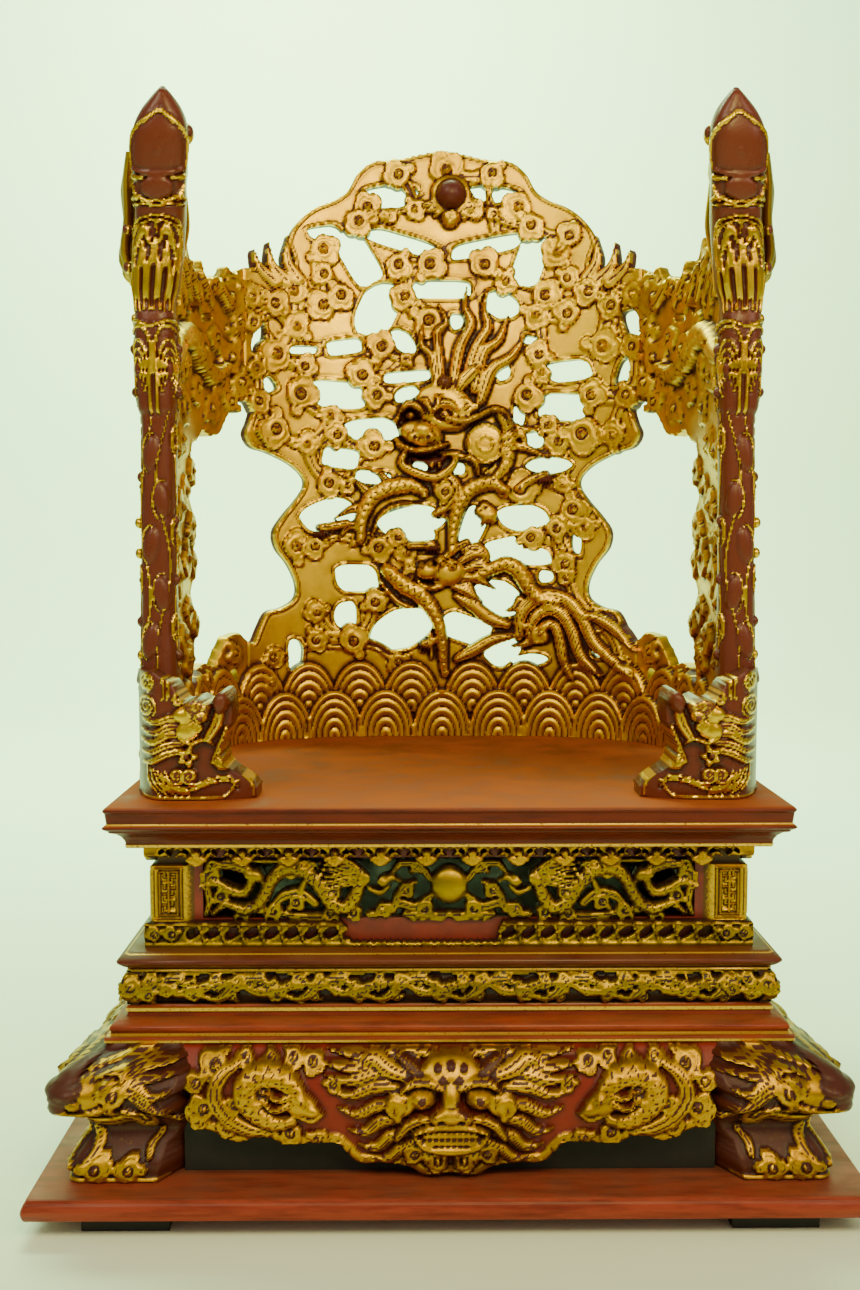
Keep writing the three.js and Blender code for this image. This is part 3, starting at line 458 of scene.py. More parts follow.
class Half:
    """Draws on one half of a carving: at side * part * u, and curled its way round.

    Its boss, band and cloud take what a carving's do, for the right half.
    """

    def __init__(self, carving, side, part=1.0):
        self.carving, self.side, self.part = carving, side, part

    def boss(self, u, *shape, **more):
        self.carving.boss(self.side * u * self.part, *shape, **more)

    def band(self, path, *shape, **more):
        placed = [(self.side * u * self.part, v) for u, v in path]
        self.carving.band(placed, *shape, **more)

    def cloud(self, u, v, r, turn, level, solid=False, spin=1):
        turn = turn if self.side > 0 else 180 - turn
        self.carving.cloud(self.side * u * self.part, v, r, turn, level, solid, spin * self.side)


def coarser(full, ids):
    """Joins whole cells of a grid four by four where all four are whole.

    A joined face keeps the middle point of a side only where its neighbour
    there isn't joined, so that no edge is left open.
    """
    rows, columns = (n - n % 2 for n in full.shape)
    cells = full[:rows, :columns]
    whole = cells[0::2, 0::2] & cells[1::2, 0::2] & cells[0::2, 1::2] & cells[1::2, 1::2]
    covered = np.zeros(full.shape, bool)
    covered[:rows, :columns] = np.kron(whole, np.ones((2, 2), bool))
    single = ids[:, full & ~covered].T
    ring = np.pad(whole, 1)
    open_side = [~ring[:-2, 1:-1], ~ring[1:-1, 2:], ~ring[2:, 1:-1], ~ring[1:-1, :-2]]
    a, b, c, d = (ids[k][:rows, :columns] for k in range(4))
    around = [
        a[0::2, 0::2], b[0::2, 0::2], b[0::2, 1::2], c[0::2, 1::2],
        c[1::2, 1::2], c[1::2, 0::2], d[1::2, 0::2], d[0::2, 0::2],
    ]
    use = [np.ones(whole.shape, bool)] * 8
    for k in range(4):
        use[2 * k + 1] = open_side[k]
    around = np.stack(around, -1)[whole]
    use = np.stack(use, -1)[whole]
    return single, (around[:, ::-1][use[:, ::-1]], use.sum(1))


def tidy_mesh(points, loops, sizes, tones):
    """Drops points that no face uses."""
    used, loops = np.unique(loops, return_inverse=True)
    return points[used], loops.ravel(), sizes, tones[used]


def joined(parts):
    """Several meshes as one."""
    points, loops, sizes, tones, start = [], [], [], [], 0
    for p, l, s, t in parts:
        points.append(p)
        loops.append(l + start)
        sizes.append(s)
        tones.append(t)
        start += len(p)
    return np.vstack(points), np.concatenate(loops), np.concatenate(sizes), np.vstack(tones)


def turned_mesh(mesh, degrees):
    """A mesh turned about the upright axis through the origin."""
    a = math.radians(degrees)
    turn = np.array([[math.cos(a), -math.sin(a), 0], [math.sin(a), math.cos(a), 0], [0, 0, 1]])
    return (mesh[0] @ turn.T,) + tuple(mesh[1:])


def flipped_mesh(mesh, axis=0):
    """A mesh mirrored along an axis, with its faces still pointing outwards."""
    points, loops, sizes, tones = mesh
    points = points.copy()
    points[:, axis] *= -1
    ends = np.cumsum(sizes)
    starts = ends - sizes
    face = np.repeat(np.arange(len(sizes)), sizes)
    order = starts[face] + ends[face] - 1 - np.arange(len(loops))
    return points, loops[order], sizes, tones


def skin(points, tones):
    """Faces over a grid of points, (rows, columns, 3): rows go up, columns round.

    Each end is closed by a ring drawn to its own middle point.
    """
    rows, columns = points.shape[:2]
    index = np.arange(rows * columns).reshape(rows, columns)
    a, b = index[:-1], np.roll(index[:-1], -1, 1)
    c, d = np.roll(index[1:], -1, 1), index[1:]
    quads = np.stack([a, b, c, d], -1).reshape(-1, 4)
    flat = points.reshape(-1, 3)
    tone = tones.reshape(-1, 4)
    loops, sizes = [quads.ravel()], [np.full(len(quads), 4)]
    for ring, step in ((index[0], 1), (index[-1], -1)):
        middle = len(flat)
        flat = np.vstack([flat, flat[ring].mean(0)])
        tone = np.vstack([tone, tone[ring].mean(0)])
        ends = np.stack([np.roll(ring, -step), ring, np.full(columns, middle)], -1)
        loops.append(ends.ravel())
        sizes.append(np.full(columns, 3))
    return flat, np.concatenate(loops), np.concatenate(sizes), tone


def make_piece(name, mesh, material, nodes, crease=48.0):
    """Puts a mesh in the scene as a piece of the throne that stands for nodes."""
    points, loops, sizes, tones = mesh
    data = bpy.data.meshes.new(name)
    data.vertices.add(len(points))
    data.vertices.foreach_set("co", (points * MM).astype(np.float32).ravel())
    data.loops.add(len(loops))
    data.loops.foreach_set("vertex_index", loops.astype(np.int32))
    data.polygons.add(len(sizes))
    starts = np.concatenate([[0], np.cumsum(sizes)[:-1]])
    data.polygons.foreach_set("loop_start", starts.astype(np.int32))
    data.update(calc_edges=True)
    data.validate()
    data.polygons.foreach_set("use_smooth", np.ones(len(data.polygons), bool))
    data.set_sharp_from_angle(angle=math.radians(crease))
    layer = data.attributes.new("finish", "FLOAT_COLOR", "POINT")
    layer.data.foreach_set("color", tones.astype(np.float32).ravel())
    piece = bpy.data.objects.new(name, data)
    bpy.context.scene.collection.objects.link(piece)
    data.materials.append(material)
    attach(piece, "root")
    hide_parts(*nodes)
    return piece


# ------------------------------------------------------ laying a carving down


def plan_line():
    """Arc length, x and y along the sheet's middle line for s >= 0."""
    t = np.linspace(0, math.pi / 2, 4001)
    x = SHEET_HALF_X * np.sin(t) ** (2 / SHEET_POWER)
    y = SHEET_CENTRE_Y + SHEET_HALF_Y * np.clip(np.cos(t), 0, None) ** (2 / SHEET_POWER)
    s = np.concatenate([[0], np.cumsum(np.hypot(np.diff(x), np.diff(y)))])
    straight = 400.0
    return (
        np.append(s, s[-1] + straight),
        np.append(x, x[-1]),
        np.append(y, y[-1] - straight),
    )


PLAN_S, PLAN_X, PLAN_Y = plan_line()


def on_sheet(u, v, w):
    """u runs along the bent sheet, v is the height, and w points inwards."""
    a = np.abs(u)
    side = np.where(u < 0, -1.0, 1.0)
    x, y = np.interp(a, PLAN_S, PLAN_X), np.interp(a, PLAN_S, PLAN_Y)
    before, after = np.clip(a - 4, 0, None), a + 4
    dx = np.interp(after, PLAN_S, PLAN_X) - np.interp(before, PLAN_S, PLAN_X)
    dy = np.interp(after, PLAN_S, PLAN_Y) - np.interp(before, PLAN_S, PLAN_Y)
    size = np.hypot(dx, dy)
    out = w + SHEET_FACE
    return side * (x + out * dy / size), y - out * dx / size, v


def on_front(reach):
    """u is x, v is the height and w points to -Y from the plane y = -reach.

    reach is a number, or a function of the height.
    """

    def place(u, v, w):
        out = reach(v) if callable(reach) else reach
        return u, -(out + w), v

    return place


def round_corner(reach, corner, inner):
    """u runs along a corner: the front for u > 0 and the left side for u < 0.

    The corner is rounded over that length of u. Behind the face, w under 0,
    the two inner faces meet on the diagonal.
    """

    def place(u, v, w):
        out = reach(v) if callable(reach) else np.full(u.shape, float(reach))
        turn = np.clip(u / corner, -1, 1) * math.pi / 4
        flat = np.clip(np.abs(u) - corner, 0, None) * np.sign(u)
        # Round the corner on an arc whose ends are one radius from the point.
        arc = corner * 4 / math.pi
        cx, cy = -(out - arc), -(out - SIDE_CUT - arc)
        nx, ny = -np.cos(math.pi / 4 + turn), -np.sin(math.pi / 4 + turn)
        inward = np.minimum(w, 0)
        pinch = np.clip(1 + inward / inner, 0.02, 1)
        x = cx + nx * (arc * pinch + np.maximum(w, 0)) + np.clip(flat, 0, None)
        y = cy + ny * (arc * pinch + np.maximum(w, 0)) + np.clip(-flat, 0, None)
        behind = np.where(inward < 0, np.clip(-inward - arc * (1 - pinch) * 0.7, 0, None) * 0.7, 0)
        return x + behind, y + behind, v

    return place


def make_sides(piece, node, material, wide, narrow, front=None):
    """Puts a wide mesh in front and behind, and a narrow one on both sides."""
    turned = (("front", front or wide, 0), ("back", wide, 180), ("left", narrow, -90), ("right", narrow, 90))
    for side, mesh, turn in turned:
        make_piece(piece + side, turned_mesh(mesh, turn), material, [node + side])


def make_corners(piece, node, material, mesh):
    """Puts the front left mesh, and its mirror images, at the four corners."""
    right, back = flipped_mesh(mesh, 0), flipped_mesh(mesh, 1)
    corners = (("front_left", mesh), ("front_right", right), ("back_left", back),
               ("back_right", flipped_mesh(right, 1)))
    for corner, one in corners:
        make_piece(piece + corner, one, material, [node + corner])


# --------------------------------------------------------------- the screen

CROWN = [
    (0, 1203), (30, 1197), (62, 1190), (92, 1187), (113, 1171), (126, 1149), (143, 1136),
    (172, 1123), (196, 1102), (207, 1078), (200, 1056), (199, 1037),
]
SHOULDER = [(225, 1034), (250, 1040), (SEAM, 1036)]
FLANK = [
    (SEAM, 866), (262, 856), (266, 838), (272, 822), (262, 806), (238, 799), (210, 786),
    (192, 770), (189, 755), (200, 737), (219, 714), (231, 694), (228, 672), (212, 650),
    (201, 624), (203, 604), (220, 592), (242, 586), (254, 566), (264, 546), (SEAM, 549),
]
# Openings of the screen: place, length, height and tilt.
SCREEN_OPENINGS = [
    (64, 1146, 79, 22, -2), (60, 1077, 103, 24, 12), (119, 1057, 76, 43, 68), (0, 1020, 86, 27, 0),
    (80, 1000, 52, 35, -20), (20, 978, 18, 22, 0), (121, 952, 23, 12, -10), (83, 910, 20, 23, 0),
    (172, 910, 66, 30, 0), (167, 862, 74, 39, 0), (105, 851, 16, 32, 0), (126, 820, 26, 27, 20),
    (262, 962, 25, 53, 20), (248, 900, 21, 48, -10), (230, 1018, 21, 13, 20), (146, 784, 62, 22, 0),
    (22, 780, 21, 16, 0), (112, 713, 72, 35, -5), (42, 700, 32, 64, -20), (185, 682, 14, 38, 0),
    (85, 667, 59, 39, 15), (128, 660, 47, 24, -5), (143, 633, 21, 17, 0), (77, 603, 72, 48, -20),
    (32, 561, 74, 39, -15), (84, 530, 50, 38, 30), (121, 518, 50, 17, 5), (218, 530, 23, 13, -5),
    (-67, 1148, 72, 21, 3), (-56, 1083, 99, 23, -14), (-158, 1093, 47, 19, 5),
    (-113, 1062, 86, 45, -58), (-86, 994, 81, 53, 55), (-52, 951, 42, 24, -45),
    (-132, 943, 52, 22, 8), (-188, 937, 42, 12, 4), (-47, 904, 69, 17, 5), (-48, 881, 35, 19, 20),
    (-142, 879, 79, 39, -8), (-95, 832, 74, 34, 0), (-252, 948, 18, 45, -15),
    (-236, 889, 19, 21, 30), (-138, 794, 54, 29, -5), (-94, 768, 52, 19, -5),
    (-30, 781, 21, 17, 0), (-155, 717, 79, 43, 12), (-42, 708, 91, 42, 8), (-117, 631, 62, 39, -8),
    (-132, 580, 32, 39, 0), (-55, 561, 91, 53, 20), (-30, 688, 40, 39, 0), (-70, 1136, 44, 19, 0),
    (-203, 527, 22, 46, 0),
]
# Cloud heads: place and radius.
SCREEN_CLOUDS = [
    (262, 1004, 15), (264, 936, 14), (256, 874, 14), (-262, 1000, 15), (-262, 968, 13), (-256, 866, 14),
    (6, 1176, 20), (68, 1172, 15), (40, 1125, 13), (103, 1127, 18), (120, 1103, 16),
    (172, 1087, 15), (157, 1067, 18), (170, 1032, 13), (58, 1052, 18), (86, 1030, 14),
    (140, 1010, 18), (200, 1012, 16), (127, 985, 16), (170, 985, 16), (232, 992, 15),
    (220, 940, 21), (132, 932, 15), (116, 878, 18), (204, 876, 18), (160, 815, 15),
    (192, 825, 22), (236, 822, 16), (75, 772, 13), (108, 752, 21), (167, 757, 11), (180, 724, 18),
    (158, 698, 14), (198, 700, 14), (122, 686, 14), (170, 650, 15), (215, 575, 13), (250, 512, 12),
    (-58, 1170, 16), (-37, 1125, 13), (-100, 1127, 16), (-112, 1108, 16), (-160, 1070, 18),
    (-160, 1037, 14), (-137, 1010, 16), (-202, 1013, 18), (-161, 997, 18), (-229, 995, 16),
    (-198, 967, 17), (-58, 1052, 16), (-16, 1052, 18), (-50, 1010, 16), (-18, 978, 19),
    (-82, 943, 17), (-226, 930, 20), (-187, 915, 14), (-108, 905, 18), (-258, 910, 12),
    (-193, 878, 20), (-88, 878, 15), (-152, 850, 15), (-143, 825, 14), (-230, 830, 20),
    (-185, 812, 15), (-92, 810, 18), (-155, 760, 16), (-200, 674, 18), (-175, 674, 14),
    (-87, 672, 16), (-47, 665, 14), (-42, 632, 15), (-92, 598, 15), (-173, 585, 14),
    (-175, 547, 14), (-122, 545, 18), (-60, 515, 13), (-237, 525, 13), (70, 1118, 8),
    (135, 908, 12), (145, 837, 12), (172, 632, 10), (-70, 1115, 8), (-48, 925, 8), (-130, 757, 10),
    (-115, 685, 10), (-60, 687, 12), (-240, 490, 10),
]
WAVE = {"spacing": 72.0, "half": 41.0, "low_top": 478.0, "high_rise": 38.0, "high_top": 517.0}
GOLDEN_ANGLE = 137.5


def screen_outline():
    """The screen's whole edge, from its top round the right and back."""
    right = [tuple(p) for p in smooth_line(CROWN, 5)] + SHOULDER
    right += [tuple(p) for p in smooth_line(FLANK, 5)] + [(SEAM, ON_SEAT)]
    return right + mirrored(right)[:-1]


def draw_clouds(carving, places, level=1.0, solid=True):
    """Cloud heads, each turned by a golden angle from the last, on three levels."""
    for k, (u, v, r) in enumerate(places):
        turn = (k * GOLDEN_ANGLE) % 360
        carving.cloud(u, v, r, turn, level + 1.4 * (k % 3), solid, 1 if k % 2 else -1)


def draw_ribbons(carving, places, reach=84.0):
    """Low ribbons that join every cloud head to its nearest neighbours."""
    centres = np.array([(u, v) for u, v, _ in places], float)
    away = np.hypot(*(centres[:, None] - centres[None]).transpose(2, 0, 1)) + FAR * np.eye(len(places))
    for k, (u, v, r) in enumerate(places):
        for rank, other in enumerate(np.argsort(away[k])[:3]):
            if away[k, other] < reach - 14 * rank:
                (p, q), wide = centres[other], 0.5 * min(r, places[other][2])
                bow = 9.0 if (k + rank) % 2 else -9.0
                middle = ((u + p) / 2 + bow * (q - v) / reach, (v + q) / 2 - bow * (p - u) / reach)
                carving.band([(u, v), middle, (p, q)], (0.6 * r, wide, 0.6 * r), 1.6, 0.9 + 0.5 * rank,
                             folds=2, solid=rank < 1, rim=1.0)


def draw_waves(carving, low, high):
    """Two rows of ripples along the seat, the lower row in front."""
    for row in (1, 0):
        for k in range(-9, 10):
            u = (k + 0.5 * row) * WAVE["spacing"]
            u += 6 * np.sign(u) if u else 0
            if low - 35 < u < high + 35:
                base = ON_SEAT + WAVE["high_rise"] * row
                top = WAVE["high_top"] if row else WAVE["low_top"]
                carving.fan(u, base, WAVE["half"], top - base, 4.0 + 3.5 * (1 - row) + k % 2, 5)


def draw_dragon_head(c):
    """The dragon's head, seen from above its brow, with its mane rising."""
    # Mane: locks that wave upwards from behind the head.
    for path, width in (
        ([(-8, 890), (-14, 929), (-28, 947), (-26, 972)], (5, 6, 4, 0.5)),
        ([(0, 890), (-5, 932), (-6, 962), (6, 975), (-5, 1000)], (6, 7, 5, 0.5)),
        ([(14, 890), (24, 941), (39, 973), (31, 995), (34, 1024)], (7, 8, 6, 1)),
        ([(30, 892), (46, 941), (62, 968), (57, 991), (62, 1020)], (7, 8, 6, 1)),
        ([(44, 886), (57, 935), (77, 952), (90, 986)], (7, 8, 6, 0.5)),
        ([(52, 870), (68, 912), (94, 929), (114, 958)], (7, 9, 6, 0.5)),
    ):
        c.band(path, width, 8, 7, folds=3, rim=0.6, solid=True)
    # The shell-like ear disc behind the cheek, and the neck's scales.
    c.boss(59, 813, 27, 28, 7, 7, 0, 0.4, 2)
    for radius in (25, 10):
        ring = [(59 + radius * math.cos(a), 813 + 1.05 * radius * math.sin(a))
                for a in np.linspace(0, 2 * math.pi, 17)]
        c.band(ring, (1.7, 1.7), 3, 12.5, lacquer=0.4 * (radius > 20))
    c.band([(79, 852), (92, 832), (90, 808), (88, 786), (74, 768)], (6, 11, 11, 9, 6), 8, 6,
           scales=8.0, solid=True)
    for tip in ([(92, 838), (112, 832), (136, 832)], [(94, 812), (118, 806), (147, 792)],
                [(92, 822), (110, 824), (116, 800)]):
        c.band(tip, (7, 5, 0.5), 6, 5, folds=2, solid=True)
    # Skull, cheeks and brow.
    c.boss(4, 862, 42, 32, 13, 6, 0, 0.6, 2, tilt=-20)
    c.boss(-28, 826, 30, 18, 14, 9, 0, 0.7, 2, tilt=-14)
    for u, v in ((-44, 850), (2, 851)):
        c.dent(u, v, 13, 8, 9)
        c.boss(u + 1, v + 1, 6.5, 5.5, 7, 11, 0, 0.6, 0)
        c.boss(u - 1, v + 1, 2.6, 2.6, 3, 16, 1, 1, 0)
    for path in ([(-56, 856), (-46, 866), (-34, 862), (-24, 852)],
                 [(-14, 852), (-4, 864), (10, 866), (22, 856)]):
        c.band(path, (3, 6, 5, 2), 8, 16, folds=2)
    # The crest between the brows: nested flames.
    for size, level in ((17, 14), (12, 18), (7, 22)):
        c.band([(-14 - size, 872), (-18, 866 - 0.4 * size), (-14, 856), (-6, 866 - 0.4 * size),
                (-14 + size, 876)], (2.4, 3.0, 3.0, 2.4), 5, level, lacquer=0.25)
    # Nose with two coiled nostrils, and the upper lip's beaded edge.
    c.boss(-26, 830, 13, 11, 9, 19, 0.35, 0.8)
    for u, spin in ((-39, 1), (-17, -1)):
        c.boss(u, 821, 8.5, 8, 8, 19, 0.45, 0.8)
        c.dent(u + 2 * spin, 820, 2.6, 2.4, 5)
    lip = [(-60, 812), (-44, 806), (-28, 803), (-12, 806), (6, 812)]
    c.band(lip, (3, 4, 4, 4, 3), 6, 17, lacquer=0.1)
    for k in range(8):
        c.boss(-54 + 7.5 * k, 803 + 0.02 * (7.5 * k - 26) ** 2 * 0.5, 2.8, 4.5, 4, 15, 0, 1, 0)
    # Mouth, tongue, and the lower jaw with its teeth.
    c.dent(-26, 793, 30, 7, 7)
    c.band([(-50, 802), (-54, 785), (-30, 772), (-8, 768), (12, 780), (22, 800)],
           (4, 6, 7, 7, 6, 4), 8, 8, folds=2, solid=True)
    for u in (-44, -34, -24, -14, -4):
        c.boss(u, 784, 2.4, 5, 4, 11, 0, 1, 0)
    c.band([(-40, 792), (-24, 787), (-6, 790), (6, 796)], (2, 5, 5, 2), 5, 9, lacquer=0.8)
    # Cheek scroll, ear, forehead ball and the long whisker.
    c.cloud(32, 862, 12, 200, 15, False)
    c.band([(24, 888), (32, 900), (40, 908), (52, 920)], (6, 10, 8, 0.5), 8, 12, folds=3, lacquer=0.1)
    c.boss(4, 895, 9.5, 9.5, 10, 14, 0.6, 0.9, 2)
    c.band([(8, 846), (30, 842), (50, 850), (70, 858), (88, 852), (99, 828)],
           (5, 5, 4, 4, 3, 1), 7, 16, lacquer=0.5)
    c.band([(-58, 850), (-66, 838), (-64, 822), (-54, 812)], (3, 4, 4, 2), 6, 12)
    c.band([(0, 800), (24, 797), (44, 790), (50, 772)], (3, 4, 4, 3), 6, 12, folds=2)


def draw_dragon_body(c):
    """The loops of the scaled body, its legs and paws, fins and tail."""
    fins = (
        [(-99, 745), (-112, 758), (-124, 768)], [(-108, 728), (-126, 724), (-147, 712)],
        [(-112, 700), (-128, 702), (-144, 682)], [(-70, 756), (-84, 772), (-96, 776)],
        [(16, 700), (8, 716), (-6, 712)], [(58, 728), (70, 722), (76, 708)],
        [(52, 722), (58, 712), (54, 700)], [(108, 600), (100, 590), (88, 586)],
    )
    for path in fins:
        c.band(path, (8, 5, 0.6), 6, 4, folds=2, lacquer=0.35, solid=True)
    c.band([(-112, 684), (-110, 712), (-98, 738), (-76, 752), (-44, 757), (-24, 748)],
           (6, 9, 11, 11.5, 11, 7), 9, 6, scales=8.0, solid=True, rim=1.0)
    c.band([(-96, 690), (-84, 716), (-62, 730), (-30, 731)], (2, 3.5, 3.5, 2), 5, 9, lacquer=0.3)
    c.band([(13, 668), (16, 702), (24, 730), (40, 752), (66, 760), (88, 750)],
           (6, 8, 10, 11, 11, 6), 9, 6, scales=8.0, solid=True, rim=1.0)
    c.band([(-76, 642), (-54, 622), (-30, 608), (-12, 585), (-2, 560), (1, 530), (4, 500)],
           (9, 12, 12, 10, 8, 7, 5), 9, 6, scales=8.0, solid=True, rim=1.0)
    c.band([(-84, 626), (-62, 600), (-36, 586), (-18, 560), (-14, 520)], (2, 4, 4, 4, 2), 5, 8)
    c.band([(44, 632), (66, 642), (88, 650), (106, 640), (120, 618), (140, 600), (160, 598)],
           (6, 9, 11, 12, 11, 9, 6), 9, 6, scales=8.0, solid=True, rim=1.0)
    # Legs run into the paws.
    for path in ([(-130, 706), (-150, 702), (-166, 700)], [(104, 752), (122, 764), (142, 772)],
                 [(6, 660), (20, 672), (34, 680)], [(-6, 548), (-14, 544), (-24, 542)],
                 [(-44, 676), (-28, 676), (-14, 678)]):
        c.band(path, (5.5, 6, 5.5), 7, 6, folds=2, solid=True)
    for u, v in ((-166, 697), (141, 768), (33, 676), (-22, 540), (-14, 674)):
        c.paw(u, v, 0.85)
    # Streamers between the loops.
    for path in ([(4, 742), (-8, 762), (10, 766), (20, 750), (8, 730), (-10, 718)],
                 [(14, 636), (36, 618), (44, 596), (66, 578), (92, 568)],
                 [(20, 606), (46, 590), (66, 574), (90, 566)],
                 [(20, 520), (48, 534), (70, 546), (96, 552)],
                 [(30, 668), (48, 672), (58, 660), (44, 648), (26, 640)]):
        c.band(path, (5, 8, 9, 8, 5), 7, 5, folds=3, rim=0.5, solid=True)
    c.boss(64, 716, 12, 9, 7, 5, 0.3, 0.8)
    for k in range(5):
        a = math.radians(72 * k + 20)
        c.boss(64 + 9 * math.cos(a), 716 + 8 * math.sin(a), 5, 5, 5, 5, 0.1, 1, 0.5)
    draw_small_head(c)
    c.cloud(4, 748, 12, 100, 12, False)


def draw_tail(c):
    """The tail's plume: broad combed strands that arch over and sweep down."""
    for path, width, folds, level in (
        ([(106, 552), (112, 586), (138, 606), (170, 602), (194, 578), (212, 544), (252, 512), (272, 500)],
         (7, 9, 10, 10, 9, 9, 8, 3), 5, 7),
        ([(120, 552), (128, 576), (146, 588), (166, 582), (180, 560), (194, 524), (222, 500)],
         (6, 8, 9, 9, 9, 8, 3), 5, 8.5),
        ([(134, 550), (142, 566), (156, 566), (164, 546), (170, 518), (182, 494)], (5, 7, 8, 8, 7, 3), 4, 10),
        ([(196, 582), (220, 576), (248, 560), (274, 536)], (5, 8, 8, 2), 4, 6.5),
    ):
        c.band(path, width, 6, level, folds=folds, solid=True)
    for path in ([(128, 548), (112, 540), (96, 538)], [(132, 560), (112, 566), (92, 572)]):
        c.band(path, (7, 5, 0.8), 5, 8, folds=2, solid=True)
    c.boss(134, 552, 15, 12, 8, 9, 0.25, 0.8, 1.5)
    c.cloud(136, 556, 11, 250, 14, False)


def draw_small_head(c):
    """The second dragon's head, which looks up to the left below the first."""
    for path in ([(20, 650), (44, 664), (66, 660)], [(26, 642), (52, 648), (78, 640)],
                 [(24, 632), (48, 630), (74, 616)], [(16, 620), (36, 612), (56, 598)]):
        c.band(path, (5, 7, 1), 6, 8, folds=3, solid=True)
    c.boss(8, 638, 24, 18, 9, 9, 0, 0.7, 1.5, tilt=15)
    c.boss(-20, 640, 15, 11, 9, 12, 0.1, 0.7, 1.5, tilt=10)
    for u, v in ((-28, 648), (-16, 651)):
        c.boss(u, v, 5, 4.5, 5, 18, 0.5, 1, 0.6)
    for u, v in ((-2, 650), (14, 646)):
        c.boss(u, v, 5.5, 5, 6, 15, 0, 0.8)
        c.boss(u - 0.5, v, 2.4, 2.4, 3, 20, 1, 1, 0)
        c.band([(u - 7, v + 4), (u, v + 9), (u + 8, v + 5)], (1.6, 3, 1.6), 4, 15, lacquer=0.2)
    c.dent(-16, 629, 14, 3, 5)
    c.band([(-34, 630), (-26, 621), (-8, 618), (8, 624)], (2, 4, 4, 2), 5, 10, solid=True)
    for k in range(5):
        c.boss(-27 + 6 * k, 632, 1.8, 3, 3, 15, 0, 1, 0)


def draw_shoulder_flames(c):
    """Flame tips that stand up behind both shoulders."""
    for side in (-1, 1):
        for path in ([(196, 1030), (210, 1052), (208, 1086)], [(212, 1026), (232, 1046), (236, 1074)],
                     [(228, 1024), (250, 1040), (258, 1062)]):
            c.band([(side * u, v) for u, v in path], (10, 7, 0.8), 4, 1, folds=2, solid=True)


def draw_pearl(c):
    """The flaming pearl at the top of the screen, with a smaller one below."""
    for k in range(9):
        a = math.radians(200 + 17.5 * k)
        tip = (12 + 38 * math.cos(a), 1140 + 30 * math.sin(a))
        c.band([(12 + 16 * math.cos(a), 1140 + 16 * math.sin(a)), tip], (7, 3), 5, 4, folds=2, solid=True)
    c.boss(12, 1143, 27, 26, 5, 5, 0.1, 0.5, 2)
    c.boss(12, 1112, 12, 11, 7, 8, 0.2, 0.8)
    c.cloud(12, 1112, 8, 90, 12, False)
    c.boss(12, 1143, 19, 19, 19, 9, 1, 1, 2)


def screen_mesh(step):
    """The whole back screen as one carved sheet."""
    c = Carving((-SEAM, ON_SEAT), (SEAM, CROWN_TOP + 2), step)
    c.outline(screen_outline(), 1)
    around = c.edge.copy()
    for u, v, length, height, tilt in SCREEN_OPENINGS:
        c.opening(u, v, length, height, tilt, 3 if length < 40 else 4)
    draw_ribbons(c, SCREEN_CLOUDS)
    # No rim along the joint to the arms.
    rim = np.where(np.abs(c.u) > SEAM - 12, FAR, c.edge)
    c.height = c.height + 2.0 * ridge(rim, 2.4, 1.5) - 1.2 * ridge(rim, 5.2, 1.2)
    # Painted shade in the groove inside the rim.
    c.lacquer = np.maximum(c.lacquer, 0.6 * ridge(rim, 5.2, 1.4))
    draw_clouds(c, SCREEN_CLOUDS)
    c.edge = np.minimum(c.edge, around + 3.0)
    draw_shoulder_flames(c)
    draw_dragon_body(c)
    draw_tail(c)
    draw_dragon_head(c)
    draw_pearl(c)
    draw_waves(c, -SEAM, SEAM)
    c.soften()
    return c.shell(on_sheet, SHEET_BACK - SHEET_FACE)


# ------------------------------------------------------------------- the arms

ARM_END = 612.0
# The right arm's outline: its top with the dragon's spikes, its lower end, the
# waves along the seat, and the open space beside its upright panel.
ARM_TOP = [
    (SEAM, 1036), (292, 1027), (304, 1035), (322, 1006), (345, 1000), (364, 1032), (376, 1012),
    (404, 1016), (429, 1044), (441, 1018), (474, 1036), (486, 1008), (520, 1012), (532, 984),
    (566, 988), (578, 962), (ARM_END, 955),
]
ARM_WAVES = [
    (SEAM, 549), (290, 561), (312, 556), (328, 536), (340, 519), (372, 527), (398, 523), (412, 511),
]
ARM_SPACE = [
    (430, 508), (434, 528), (418, 548), (411, 572), (419, 600), (433, 618), (416, 634), (410, 656),
    (416, 672), (409, 694), (418, 722), (432, 734), (417, 748), (410, 765), (420, 786), (412, 800),
    (388, 806), (368, 821), (345, 814), (322, 819), (308, 840), (294, 860), (SEAM, 866),
]
ARM_OPENINGS = [
    (352, 962, 30, 12, -10), (398, 968, 26, 12, 10), (592, 889, 14, 12, 0), (594, 800, 14, 16, 0),
    (594, 706, 12, 22, 0), (594, 632, 12, 26, 0), (592, 560, 12, 18, 0), (300, 505, 14, 18, 0),
    (512, 905, 30, 10, 0),
]
ARM_CLOUDS = [
    (286, 1010, 16), (284, 968, 14), (284, 888, 15), (300, 862, 13),
    (300, 995, 19), (302, 918, 19), (322, 886, 18), (362, 985, 16), (368, 920, 18), (345, 850, 16),
    (392, 870, 17), (420, 935, 17), (450, 840, 18), (470, 960, 18), (500, 870, 18), (540, 920, 18),
    (424, 766, 13), (440, 700, 16), (424, 690, 12), (426, 654, 13), (424, 580, 13), (462, 740, 16),
    (500, 720, 17), (468, 660, 17), (510, 640, 17), (458, 600, 16), (500, 570, 17), (550, 690, 18),
    (560, 760, 17), (556, 610, 18), (570, 830, 18), (544, 540, 16), (455, 540, 14), (290, 950, 12),
    (330, 940, 13), (340, 1000, 12), (410, 1000, 14), (455, 1010, 13), (505, 990, 14),
    (560, 960, 15), (440, 890, 14), (530, 780, 15), (480, 800, 15), (585, 720, 14), (585, 660, 13),
    (590, 590, 13), (525, 680, 13), (480, 540, 13), (590, 910, 14), (300, 535, 12), (365, 505, 10),
]


